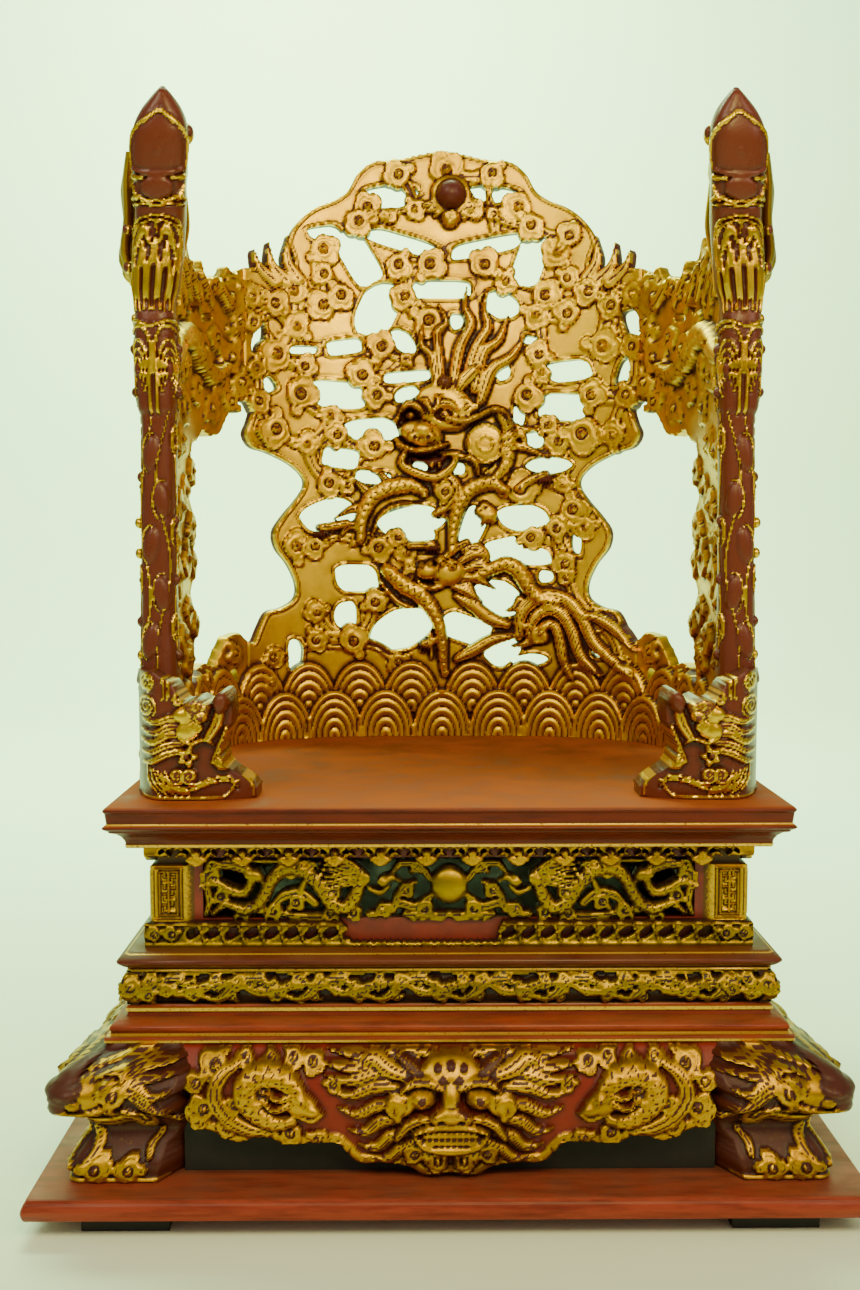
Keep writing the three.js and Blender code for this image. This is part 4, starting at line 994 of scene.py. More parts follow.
def arm_mesh(step):
    """The right arm: clouds on both faces, and waves along the seat."""
    low, high = (SEAM + GAP, ON_SEAT), (ARM_END, 1046)
    c = Carving(low, high, step)
    outline = ARM_TOP + [(ARM_END, ON_SEAT), (SEAM, ON_SEAT)] + ARM_WAVES + ARM_SPACE
    c.outline(outline, 1)
    for place in ARM_OPENINGS:
        c.opening(*place)
    rear = Carving(low, high, step)
    draw_clouds(c, ARM_CLOUDS)
    for k in range(6):
        u = 318 + 42 * k
        spike = [(u - 14, 985 - 4 * k), (u + 4, 1004 - 4 * k), (u + 22, 1028 - 5 * k)]
        c.band(spike, (9, 7, 1), 6, 4, folds=3)
    c.band([(312, 905), (350, 890), (392, 905), (440, 925), (492, 915), (540, 890), (592, 880)],
           (6, 13, 15, 15, 14, 12, 9), 11, 5, scales=9.0, rim=1.0)
    draw_waves(c, SEAM, ARM_END)
    rear.edge = c.edge
    shifted = [(u + 9, v - 12, r) for u, v, r in ARM_CLOUDS if u < 596]
    draw_clouds(rear, shifted, 1.0, False)
    draw_waves(rear, SEAM, ARM_END)
    for side in (c, rear):
        rim = np.where((side.u < SEAM + 12) | (side.u > ARM_END - 8), FAR, side.edge)
        side.height = side.height + np.where(side.height < 0.6, 1.8 * ridge(rim, 2.4, 1.5), 0)
        side.soften()
    return c.shell(on_sheet, SHEET_BACK - SHEET_FACE, rear)


# ------------------------------------------------------------------ the posts

# The left post's rings, from the seat to the tip of the dragon's jaw: height,
# distance outwards, place along Y, half width, half depth and lean in degrees.
POST_RINGS = [
    (ON_SEAT, 306, -178, 20, 24, 0), (470, 306, -177, 21, 23, 0), (545, 307, -176, 20, 22.5, 0),
    (600, 307, -175, 18.6, 20, 0), (700, 306, -175, 18, 20, 0), (800, 304, -175, 18, 20, 0),
    (822, 305, -176, 20.5, 23, 0), (870, 305, -177, 22, 24, 0), (902, 305, -178, 22, 24, 0),
    (916, 305, -179, 20.5, 22, 0), (930, 305, -179, 20.5, 22, -2), (950, 303, -180, 23.5, 25, -4),
    (1000, 298, -184, 25, 25.5, -10), (1024, 296, -191, 25.6, 24.5, -19), (1046, 294, -200, 26, 24, -28),
    (1070, 291.5, -213, 28, 22.5, -33), (1092, 289, -224, 27, 20, -37), (1106, 287, -230, 21, 16, -40),
    (1118, 285, -235, 11, 10, -43), (1126, 284, -238, 3, 5, -44),
]
POST_GIRTH = 150.0  # how far round the post is taken to be where it is drawn
POST_FRONT = 75.0  # the place round it that faces the viewer; 0 is its back


def gold_line(c, path, width=1.5, rise=1.6):
    """A thin raised line with leaf on it."""
    c.band(path, (0.9 * width, 1.4 * width, 1.4 * width, 0.9 * width), rise, 0.6)


def spiral(u, v, size, turns, start, spin=1):
    """Points of a flat coil from its middle outwards."""
    a = np.linspace(0, 2 * math.pi * turns, int(10 * turns) + 1)
    r = size * (0.12 + 0.88 * a / a[-1])
    return [(u + q * math.cos(start + spin * p), v + q * math.sin(start + spin * p))
            for p, q in zip(a, r)]


def ring_pair(c, u, v, wide, tall, rings=3, spin=1):
    """Long concentric rings, open at the top, drawn as raised gold lines."""
    for k in range(rings):
        f = 1 - 0.3 * k
        a = np.linspace(-1.2, 4.0, 17)
        gold_line(c, [(u + spin * f * wide * math.cos(t), v + f * tall * math.sin(t)) for t in a], 1.1, 1.8)
    c.boss(u, v, 0.26 * wide, 0.26 * tall, 3.5, 0, 1, 0.8, 0.6)


def draw_shaft(c, front):
    """Bare lozenges between wavering gold lines, under coils and balls."""
    for start, swing, phase in ((-31, 5, 0.0), (-9, 9, 1.3), (15, 8, 2.4), (32, 5, 3.9)):
        path = [(front + start + swing * math.sin(0.034 * v + phase), v) for v in range(548, 815, 14)]
        gold_line(c, path, 0.9, 1.2)
    for v, lean in ((575, 1), (626, -1), (676, 1), (724, -1), (772, 1)):
        c.boss(front + 7 * lean, v, 10, 19, 3.4, 0, 1, 1, 0.5, tilt=14 * lean)
        arc = [(front + 7 * lean + 11 * math.cos(a), v + 21 * math.sin(a)) for a in np.linspace(-1.2, 1.9, 7)]
        gold_line(c, arc, 0.9, 1.4)
        ring_pair(c, front - 27 * lean, v + 14, 8, 15, 2, lean)
    for u, v in ((-30, 702), (-31, 640), (-33, 560), (30, 596), (30, 748)):
        c.boss(front + u, v, 5, 6, 5, 0, 1, 1, 0.8)


def draw_collar(c, front):
    """Tall coiled rings beside a gold stem, and a green band above."""
    for side in (-1, 1):
        ring_pair(c, front + side * 17, 858, 12, 30, 3, side)
        ring_pair(c, front + side * 40, 872, 9, 22, 2, side)
        ring_pair(c, front + side * 42, 830, 8, 14, 2, side)
        stem = [(front + side * 4, 812), (front + side * 3, 850), (front + side * 2, 884)]
        gold_line(c, stem + [(front + side * 12, 902), (front + side * 30, 896)], 1.4, 2.2)
        for v in (836, 880):
            c.boss(front - 33 * side, v, 5, 6, 6, 0, 0.9)
    wave = [(u, 905 + 3 * math.sin(u / 7)) for u in range(8, 144, 7)]
    gold_line(c, wave, 1.3, 2.0)


def draw_beard(c, front):
    """Tall gold strands on dark green, under an arch of fangs."""
    for k in range(5):
        u = front + (k - 2) * 11
        tall = 992 - 4 * abs(k - 2)
        for side in (-1, 1):
            path = [(u, tall), (u + 3 * side, tall - 26), (u + 4 * side, 946), (u + 2 * side, 918)]
            c.band(path, (2.0, 2.4, 2.2, 1.2), 2.6, 0.4, lacquer=0.05)
        c.dent(u, tall - 38, 2.2, 14, 2.0, 0.95)
    for k, half in enumerate((27, 23.5)):
        top = 1017 - 5 * k
        arch = [(front - half, 962), (front - half, 990), (front - 0.72 * half, top - 7), (front, top)]
        arch += [(2 * front - u, v) for u, v in arch[-2::-1]]
        gold_line(c, arch, 1.3, 2.4)
    fangs = [(-19, 974), (-14, 992), (-9, 1005), (-4, 990), (1, 984), (6, 990), (10, 1004), (15, 992),
             (19, 974)]
    c.band([(front + u, v) for u, v in fangs], (1.0, 2.6, 3.4, 2.4, 1.6, 2.4, 3.4, 2.6, 1.0), 3, 1.6)
    c.band([(front - 1, 1012), (front, 996)], (2.6, 0.5), 2.4, 1.0)


def draw_mouth(c, front):
    """The lip, the tongue's pad and the long bare palate with its gilded rim."""
    lip = [(front - 30, 1026), (front - 14, 1029), (front, 1028), (front + 14, 1029), (front + 30, 1026)]
    gold_line(c, lip, 1.3, 2.4)
    gum = [(front - 30, 1031), (front - 20, 1036), (front - 6, 1032), (front, 1035), (front + 6, 1032),
           (front + 20, 1036), (front + 30, 1031)]
    c.band(gum, (2.0, 2.6, 2.0, 2.6, 2.0), 3, 1.0)
    c.boss(front, 1046, 15, 12, 5, 0.5, 1, 0.5, 1.5)
    for side in (-1, 1):
        c.band([(front + side * 14, 1055), (front + side * 26, 1054)], (1.2, 3.5), 2.4, 1.0)
        c.band([(front + side * 20, 1034), (front + side * 27, 1046)], (2.6, 1.6), 2.6, 1.0)
    c.band([(front - 27, 1061), (front, 1059), (front + 27, 1061)], (2.4, 2.4), 2.0, 0.6, lacquer=1.0)
    rim = [(-28, 1062), (-31, 1078), (-27, 1094), (-15, 1107), (0, 1113), (15, 1107), (27, 1094),
           (31, 1078), (28, 1062)]
    gold_line(c, [(front + u, v) for u, v in rim], 1.5, 2.6)
    c.boss(front, 1080, 4, 4, 1.2, 0, 1, 1, 0)


def draw_post(c):
    """Gilded lines on the shaft, the coiled collar, and the dragon's face."""
    front = POST_FRONT
    c.edge[:] = FAR
    c.lacquer[:] = 1.0
    draw_shaft(c, front)
    draw_collar(c, front)
    draw_beard(c, front)
    draw_mouth(c, front)


def post_surface(c):
    """The post's skin: an oval section that grows and leans as it rises."""
    ring = smooth_line(POST_RINGS, 8)
    v = c.v[:, 0]
    out, y0, half_x, half_y, lean = (np.interp(v, ring[:, 0], ring[:, k])[:, None] for k in range(1, 6))
    angle = (c.u / POST_GIRTH) * 2 * math.pi + math.pi / 2
    cx, cy = np.cos(angle), np.sin(angle)
    power = 2.7
    radius = (np.abs(cx / half_x) ** power + np.abs(cy / half_y) ** power) ** (-1 / power)
    radius = radius + c.height * np.clip(half_x / 12, 0, 1)
    lean = np.radians(lean)
    x = -out - radius * cx
    y = y0 + radius * cy * np.cos(lean)
    z = c.v - radius * cy * np.sin(lean)
    return skin(np.stack([x, y, np.maximum(z, ON_SEAT)], -1)[:, ::-1][:, :-1],
                c.finish_values()[:, ::-1][:, :-1])


def tube(path, radii, tones, flat, ribs, sides=12):
    """A closed round bar along a smooth 3-D line; flat squashes it along X."""
    line = smooth_line(path, 7)
    radius = np.interp(np.linspace(0, 1, len(line)), np.linspace(0, 1, len(radii)), radii)
    way = np.gradient(line, axis=0)
    way /= np.linalg.norm(way, axis=1)[:, None] + 1e-9
    side = np.cross(way, [1.0, 0.0, 0.0])
    side /= np.linalg.norm(side, axis=1)[:, None] + 1e-9
    other = np.cross(side, way)
    a = np.linspace(0, 2 * math.pi, sides, endpoint=False)
    swell = 1 + 0.16 * np.cos(ribs * a)
    rounds = (np.cos(a) * swell)[None, :, None] * side[:, None, :]
    rounds = rounds - flat * (np.sin(a) * swell)[None, :, None] * other[:, None, :]
    points = line[:, None, :] + radius[:, None, None] * rounds
    tone = np.broadcast_to(np.array(tones, float), points.shape[:2] + (4,)).copy()
    # Painted shade in the grooves between the ribs.
    tone[..., 1] = np.maximum(tone[..., 1], 0.8 * (np.cos(ribs * a) < -0.4)[None, :])
    return skin(points, tone)


def ball(centre, radii, tones, rings=12, tip=None):
    """A closed ellipsoid by latitude and longitude, its upper pole at +Z."""
    lat = np.linspace(-0.49 * math.pi, 0.49 * math.pi, rings)[:, None]
    lon = np.linspace(0, 2 * math.pi, 2 * rings, endpoint=False)[None, :]
    unit = np.stack([np.cos(lat) * np.cos(lon), np.cos(lat) * np.sin(lon), np.sin(lat) + 0 * lon], -1)
    tone = np.broadcast_to(np.array(tones, float), unit.shape[:2] + (4,)).copy()
    if tip is not None:
        tone[..., 0] = np.where(unit @ np.array(tip, float) > 0.5, 1.0, tone[..., 0])
    return skin(np.array(centre) + unit * np.array(radii), tone)


def post_head_parts():
    """The left head's brow, side bumps and ear, with the mane on its outer side."""
    gold, red = (0, 0, 0, 0.5), (1, 0, 0, 0)
    parts = [ball((-292, -177, 1066), (22, 24, 30), gold), ball((-294, -154, 1080), (15, 16, 16), gold)]
    for x, y, z, out in ((-314, -202, 1088, -1), (-267, -206, 1092, 1)):
        parts.append(ball((x, y, z), (8.5, 11, 11), gold))
        parts.append(ball((x + 4 * out, y - 5, z + 1), (5, 6, 6.5), (0.3, 0, 0, 0), 10, (out, -0.5, 0)))
    ear = [(-316, -184, 1064), (-328, -176, 1052), (-339, -168, 1046)]
    parts.append(tube(ear, (8, 6, 1.6), gold, 0.8, 4))
    parts.append(ball((-331, -170, 1040), (5, 6, 7), red))
    for k in range(5):
        y, sway = -178 + 8 * k, 4 + 2 * (k % 2)
        x = -329 - 1.5 * (k % 2)
        path = [(x, y, 1082 - 6 * k), (x - sway, y + 5, 1052 - 5 * k), (x - 4, y + 4, 1014 - 4 * k)]
        path += [(x - sway - 4, y + 6, 980 - 5 * k), (x + 3, y + 4, 944 + 3 * k)]
        parts.append(tube(path, (5, 6.5, 6, 6, 1.5), gold, 1.0, 3))
    for k in range(4):
        x = -300 + 9 * k - 12
        path = [(x, -156, 1086), (x, -148, 1058), (x + 3, -146, 1016), (x - 3, -148, 976), (x, -158, 940)]
        parts.append(tube(path, (5, 7, 7, 6, 2), gold, 1.0, 3))
    for z, y in ((1004, -176), (966, -174), (986, -166)):
        parts.append(ball((-334, y, z), (5.5, 6, 6.5), gold, 10, (-1, -0.6, 0)))
    for z in (912, 700, 668, 560, 525):
        parts.append(ball((-326, -180, z), (5, 6, 6), gold, 8, (-1, 0, 0)))
    return parts


# The foot of the left post: a slab that faces forwards, carved as a beast's head
# on a cloud; u runs inwards from its outer edge, and v is its height.
FOOT_OUTLINE = [
    (0, GAP), (125, GAP), (126, 13), (112, 25), (96, 36), (94, 44), (92, 54), (96, 66), (103, 82),
    (103, 100), (97, 112), (88, 110), (80, 100), (68, 105), (54, 102), (44, 118), (30, 128), (0, 132),
]
FOOT_FACE = (-327.0, -236.0)  # the outer end and the face along Y
FOOT_DEPTH = 55.0
FOOT_STEP = 1.8
FOOT_ROUND = 32.0  # the outer edge is rounded back over this width
TOE_FROM = 62.0  # and the toe turns back beyond this one


def on_foot(u, v, w):
    """u runs inwards along the foot's face, and w points forwards."""
    back = 40 * np.clip(1 - u / FOOT_ROUND, 0, 1) ** 2
    back = back + 15 * np.clip((u - TOE_FROM) / (125 - TOE_FROM), 0, 1) ** 2
    back = np.minimum(back, FOOT_DEPTH - 4) * np.clip(1 + w / FOOT_DEPTH, 0, 1)
    return FOOT_FACE[0] + u, FOOT_FACE[1] + back - w, SEAT_TOP + v


def draw_foot(c):
    """A beast's face, its mane, a rosette and a cloud, with a bare sloped toe."""
    c.outline(FOOT_OUTLINE, 4)
    c.lacquer[:] = 1.0
    for v, size in ((97, 13), (122, 10)):
        gold_line(c, spiral(13, v, size, 2.3, 0.6, -1), 1.2, 2.4)
    for u in (33, 38):
        gold_line(c, [(u, 104), (u + 1, 118), (u - 1, 130)], 1.0, 2.0)
    sweep = (((60, 84), (42, 86), (26, 81), (8, 84)), ((56, 76), (40, 77), (24, 70), (6, 73)),
             ((54, 68), (38, 68), (22, 60), (6, 62)), ((54, 60), (38, 58), (20, 50), (6, 50)),
             ((52, 52), (36, 48), (20, 40), (8, 38)))
    for k, path in enumerate(sweep):
        c.band(path, (4.0, 4.4, 4.0, 1.5), 4, 1.5, folds=2, lacquer=0.1 + 0.3 * (k % 2))
    for k in range(5):
        path = [(14 + 4 * k, 36 - 2 * k), (16 + 7 * k, 20 - 2 * k), (28 + 8 * k, 6)]
        c.band(path, (1.2, 1.8, 1.0), 2.2, 1.0)
    gold_line(c, spiral(50, 104, 9, 1.6, 2.4, -1), 1.4, 3.0)
    # Brow, eye, cheek, jaw and the red-tipped horn.
    c.boss(69, 98, 14, 13, 9, 3, 0.6, 0.6, 1.5)
    gold_line(c, spiral(70, 100, 10, 1.4, 0.0), 1.2, 11.5)
    c.boss(56, 88, 12, 9, 7, 3, 0.1, 0.8, tilt=-20)
    c.boss(60, 74, 14, 11, 7, 3, 0.3, 0.8, tilt=30)
    gold_line(c, spiral(68, 76, 7, 1.5, 0.0), 1.3, 9.5)
    c.boss(73, 87, 7, 6, 5, 8)
    c.boss(73, 86.5, 3.4, 3.2, 3, 12, 1, 1, 0)
    c.band([(80, 66), (88, 80), (92, 96)], (5, 6, 5), 6, 3, folds=2)
    c.boss(93, 102, 7.5, 12, 9, 4, 0.85, 0.7, tilt=-12)
    c.band([(84, 40), (92, 58), (98, 76)], (3, 4.5, 2), 4.5, 2, folds=2, lacquer=0.2)
    c.band([(50, 66), (62, 60), (76, 64), (84, 58)], (1.6, 2.8, 2.4, 1.2), 4, 5)
    for k in range(5):
        a = math.radians(72 * k)
        c.boss(58 + 7 * math.cos(a), 46 + 7 * math.sin(a), 4, 4, 4, 5, 0.1, 1, 0.5)
    c.boss(58, 46, 2.8, 2.8, 4, 6.5, 0.9, 1, 0.3)
    c.boss(96, 40, 11, 8, 7, 3, 0.2, 0.8, tilt=25)
    for k in range(4):
        c.band([(90 + 5 * k, 46 - 3 * k), (98 + 5 * k, 38 - 3 * k)], (2.4, 1.0), 4, 7)
    # The cloud: two curls in a wide double line, over the gold bottom line.
    for u, spin in ((47, -1), (60, 1)):
        c.boss(u, 26, 8, 8, 4, 2, 0.9, 0.7)
        gold_line(c, spiral(u, 26, 9, 1.6, 1.5, spin), 1.5, 5.5)
    for k in (0, 1):
        path = [(34, 30 - 5 * k), (44, 15 - 3 * k), (62, 15 - 4 * k), (80, 22 - 4 * k),
                (100, 24 - 4 * k), (108, 12)]
        gold_line(c, path, 1.3, 3.0)
    gold_line(c, [(6, 3), (50, 2.6), (90, 3), (100, 8), (108, 20)], 1.4, 2.0)
    gold_line(c, [(112, 25), (121, 18), (124, 4)], 0.9, 1.0)
    c.soften()


def post_mesh(step):
    """The left post with its head and foot."""
    c = Carving((0, ON_SEAT), (POST_GIRTH, POST_RINGS[-1][0]), step)
    draw_post(c)
    c.height = 0.75 * c.height + 0.25 * blur(c.height, 1)
    foot = Carving((0, 0), (127, 133), FOOT_STEP)
    draw_foot(foot)
    parts = [post_surface(c), foot.shell(on_foot, -FOOT_DEPTH, foot)]
    return joined(parts + post_head_parts())


# ------------------------------------------------------ the legs and aprons

KNEE = [(42, 372), (60, 374), (80, 376), (105, 377), (125, 376), (145, 371), (160, 362), (172, 352)]
# Rows of a leg: height, reach of its corner and its inner end.
LEG_ROWS = [
    (42.3, 380, 296), (60, 379, 292), (76, 369, 287), (90, 362, 275), (108, 370, 273),
    (118, 388, 280), (128, 390, 289), (140, 389, 275), (156, 376, 273), (171.7, 350, 273),
]
LEG_THICKNESS = 42.0


def rows_line(rows, column):
    """A smooth function of height through one column of rows."""
    line = smooth_line(rows, 6)
    return lambda v: np.interp(v, line[:, 0], line[:, column])


def leg_mesh(step):
    """A leg: a beast's head in profile on each face, its mane above, a clawed foot below."""
    reach, inner = rows_line(LEG_ROWS, 1), rows_line(LEG_ROWS, 2)
    long = 120.0
    c = Carving((-long, LEG_ROWS[0][0]), (long, LEG_ROWS[-1][0]), step)
    half = reach(c.v) - inner(c.v)
    c.edge = np.minimum(half - np.abs(c.u), 40)
    c.edge = np.minimum(c.edge, np.minimum(c.v - c.v.min() + 3, c.v.max() - c.v + 3))
    c.lacquer[:] = 0.6
    for s in (-1, 1):
        h = Half(c, s)
        # Mane and brow sweep back from the snout.
        for k, path in enumerate((
            [(12, 160), (38, 168), (70, 162), (104, 168)], [(14, 152), (44, 158), (74, 150), (108, 156)],
            [(52, 150), (76, 142), (92, 134), (108, 140)], [(70, 138), (86, 126), (98, 118), (108, 122)],
            [(64, 120), (80, 112), (92, 104), (104, 108)],
        )):
            h.band(path, (4, 6, 5.5, 2), 6, 2, folds=3, lacquer=0.15 + 0.25 * (k % 2))
        h.boss(24, 138, 24, 17, 8, 2, 0.35, 0.6)
        h.boss(40, 147, 9, 7.5, 5, 7, 0, 0.8)
        h.boss(40, 147, 5, 4.5, 5, 10, 0, 1, 0.4)
        h.boss(40, 147, 2.2, 2.2, 2, 15, 1, 1, 0)
        h.band([(26, 152), (36, 158), (48, 157), (56, 149)], (2, 4, 4, 2), 5, 8, folds=2)
        h.boss(12, 140, 9, 8, 7, 8, 0.6, 0.8)
        h.boss(16, 128, 8, 6, 6, 7, 0.3, 0.8)
        h.band([(4, 120), (20, 117), (38, 121), (52, 130)], (3, 4, 4, 2), 5, 6)
        for k in range(5):
            h.boss(12 + 7 * k, 112 + 0.6 * k, 2.2, 4, 4, 5, 0, 1, 0.5)
        h.cloud(54, 136, 13, 90, 5)
        h.cloud(60, 106, 12, 200, 3, spin=-1)
        # Chin, panel and the two curls of the foot.
        h.band([(2, 102), (22, 100), (44, 104), (58, 94)], (4, 6, 5, 2), 5, 2, folds=2)
        h.band([(6, 92), (14, 74), (10, 58)], (5, 6, 4), 4, 2, folds=2, lacquer=0.2)
        h.band([(70, 90), (66, 78), (72, 66)], (4, 5, 3), 4, 2, folds=2, lacquer=0.2)
        h.cloud(22, 56, 13, 20, 3)
        h.cloud(56, 55, 12, 160, 3, spin=-1)
        h.band([(0, 44.5), (40, 44.5), (86, 44.5)], (2.2, 2.2), 2.5, 2)
    # Scales on the snout between the two profiles.
    c.band([(0, 118), (0, 132), (0, 150), (0, 164)], (7, 12, 12, 5), 7, 4, scales=6.0, lacquer=0.75)
    c.height = c.height + 1.3 * ridge(c.edge, 2.2, 1.1)
    c.soften(1.0)
    return c.shell(round_corner(reach, 9.0, LEG_THICKNESS), -LEG_THICKNESS)


# Lower edge of half an apron from the leg to the middle: part of the half
# length, and height.
APRON_EDGE = [
    (1, 139), (0.96, 131), (0.98, 114), (0.95, 98), (0.885, 95), (0.79, 83), (0.69, 90), (0.61, 80),
    (0.48, 83), (0.41, 80), (0.345, 61), (0.25, 60), (0.16, 56), (0.09, 46), (0, 49),
]
APRON_HALF = 270.5
APRON_THICKNESS = 15.0


def apron_mesh(half, step):
    """An apron: a lion mask in the middle, and a dragon in clouds on each side."""
    top = LEG_TOP - GAP
    low = smooth_line([(-p * half, z) for p, z in APRON_EDGE], 5)
    edge = [tuple(p) for p in low] + [(-u, v) for u, v in low[::-1][1:]]
    c = Carving((-half, 44.0), (half, top), step)
    c.outline(edge + [(half, top), (-half, top)], 1)
    # The painted ground lies back, and the rim and the carving stand on it.
    c.ground[:] = 1.0
    part = half / APRON_HALF
    border = (c.edge < 8.5) & (c.v < 150)
    rim = 4.0 + 1.4 * ridge(c.edge, 1.8, 1.0) + 1.2 * ridge(c.edge, 6.4, 0.9)
    c.put((slice(None), slice(None)), border, rim, 0.0)
    for s in (-1, 1):
        h = Half(c, s, part)
        # The mask's mane: long combed locks out to the sides.
        for k, path in enumerate((
            [(16, 166), (46, 171), (84, 165), (124, 170)], [(34, 160), (66, 162), (96, 155), (132, 160)],
            [(44, 150), (72, 151), (98, 144), (126, 148)], [(50, 138), (76, 138), (100, 130), (118, 134)],
            [(52, 122), (74, 120), (92, 112), (112, 118)], [(50, 108), (70, 104), (84, 94), (102, 96)],
            [(46, 94), (62, 88), (74, 78), (92, 80)], [(38, 82), (52, 74), (62, 66), (78, 66)],
        )):
            h.band(path, (5, 7, 6, 1.5), 7, 3, folds=4, lacquer=0.1)
        # A dragon with a scaled body, its head to the middle.
        h.band([(150, 128), (166, 146), (190, 150), (206, 136), (196, 116), (176, 104), (158, 106)],
               (9, 11, 12, 12, 11, 9, 6), 9, 4, scales=7.5, rim=0.8)
        h.boss(150, 122, 17, 13, 8, 5, 0, 0.7, 1.5, tilt=s * 20)
        h.boss(138, 116, 9, 7, 7, 7, 0.3, 0.8)
        h.boss(148, 127, 4.4, 4, 4, 12, 0, 1, 0.6)
        h.boss(148, 127, 1.9, 1.9, 2, 15, 1, 1, 0)
        h.band([(128, 112), (138, 106), (152, 110)], (2, 3.4, 2), 4, 7, lacquer=0.2)
        for path in ([(158, 132), (172, 128), (184, 134)], [(160, 124), (174, 118), (188, 124)]):
            h.band(path, (3, 4, 0.6), 4, 11, folds=2)
        h.band([(212, 160), (228, 150), (236, 132), (226, 112), (206, 98), (182, 92)],
               (5, 8, 9, 9, 8, 4), 7, 3, folds=3, rim=0.6)
        for place in ((138, 160, 10), (158, 164, 9), (246, 118, 12), (236, 158, 13), (214, 122, 9),
                      (254, 142, 9), (222, 98, 9), (160, 92, 10), (132, 86, 9), (188, 134, 10),
                      (206, 164, 8), (118, 140, 7), (250, 104, 8), (180, 164, 7), (112, 76, 8)):
            h.cloud(*place, 90 + place[0], 3.5)
        # Ears, brows, horns, eyes and cheeks of the mask.
        h.band([(46, 150), (62, 156), (78, 166), (92, 158)], (7, 9, 8, 1), 7, 7, folds=3, lacquer=0.1)
        h.band([(30, 150), (42, 160), (54, 168)], (6, 6, 2), 7, 9, folds=2, lacquer=0.5)
        h.boss(51, 122, 16, 13, 8, 6, 0, 0.7, 1.5)
        h.cloud(56, 118, 9, 90, 11)
        h.boss(29, 129, 15, 11.5, 7, 8, 0, 0.7)
        h.boss(29, 129, 9.5, 8, 6, 13, 0, 0.8)
        h.boss(29, 129, 4.2, 4.0, 2, 19, 1, 1, 0)
        h.band([(10, 140), (22, 146), (38, 145), (50, 136)], (3, 5, 5, 2), 6, 15, folds=3, lacquer=0.25)
        h.band([(14, 110), (32, 108), (46, 100), (54, 88)], (4, 5, 5, 3), 6, 11, folds=2)
        Half(c, s).cloud(13, 63, 10, -60, 8)
        h.cloud(36, 70, 9, -30, 6)
        for k in range(4):
            u = s * (4 + 6.5 * k)
            c.band([(u, 74), (u + s * 3, 64), (u + s * 1, 53 + 2 * k)], (2.6, 2.8, 0.6), 4, 6, folds=2)
    # Forehead with its bare studs, then the nose and the open mouth.
    c.boss(0, 152, 30, 19, 10, 8, 0.15, 0.6, 1.5)
    for u, v, r in ((0, 160, 4), (-13, 158, 3.4), (13, 158, 3.4), (-8, 148, 3.4), (8, 148, 3.4)):
        c.boss(u, v, r, r, 4, 17, 1, 1, 0.8)
    c.boss(0, 128, 9, 18, 9, 13, 0.3, 0.8)
    c.boss(0, 114, 18, 9.5, 9, 15, 0.35, 0.8)
    for s in (-1, 1):
        c.boss(s * 13, 112, 8, 7, 6, 17, 0.35, 0.9)
        c.dent(s * 10, 109, 3.4, 2.8, 6)
    c.band([(-36, 96), (-22, 101), (0, 103), (22, 101), (36, 96)], (3, 4, 4.5, 4, 3), 6, 14, lacquer=0.15)
    c.boss(0, 89, 33, 11, 5, 9, 0.7, 0.4)
    for k in range(9):
        u = -24 + 6 * k
        c.boss(u, 93, 2.6, 4.6, 4, 13, 0, 0.8, 0.6)
        c.boss(u, 84.5, 2.6, 3.6, 4, 12.5, 0, 0.8, 0.6)
    c.band([(-36, 92), (-26, 80), (0, 76), (26, 80), (36, 92)], (3, 4, 5, 4, 3), 6, 12)
    c.edge = np.minimum(c.edge, 60)
    c.soften(1.0)
    place = on_front(lambda v: rows_line(KNEE, 1)(v) - (SIDE_CUT if part > 0.9 else 0))
    return c.shell(place, -APRON_THICKNESS)


# ------------------------------------------------------------------ the waist

# Half widths of the faces of panels, posts and rails, and what they measure.
WAIST_REACH = 299.7
PANEL_HALF = 256.7
PANEL_HEIGHTS = (288.3, 351.7)
PANEL_THICKNESS = 8.0
STRIP_THICKNESS = 11.0
WAIST_POST = 310.0
POST_SIDE = 36.0
FRET_STEP = 1.3
LAPPET = 47.5
RAIL_BREAK = (-106.0, 52.0)
WAIST_OUTER = 314.0


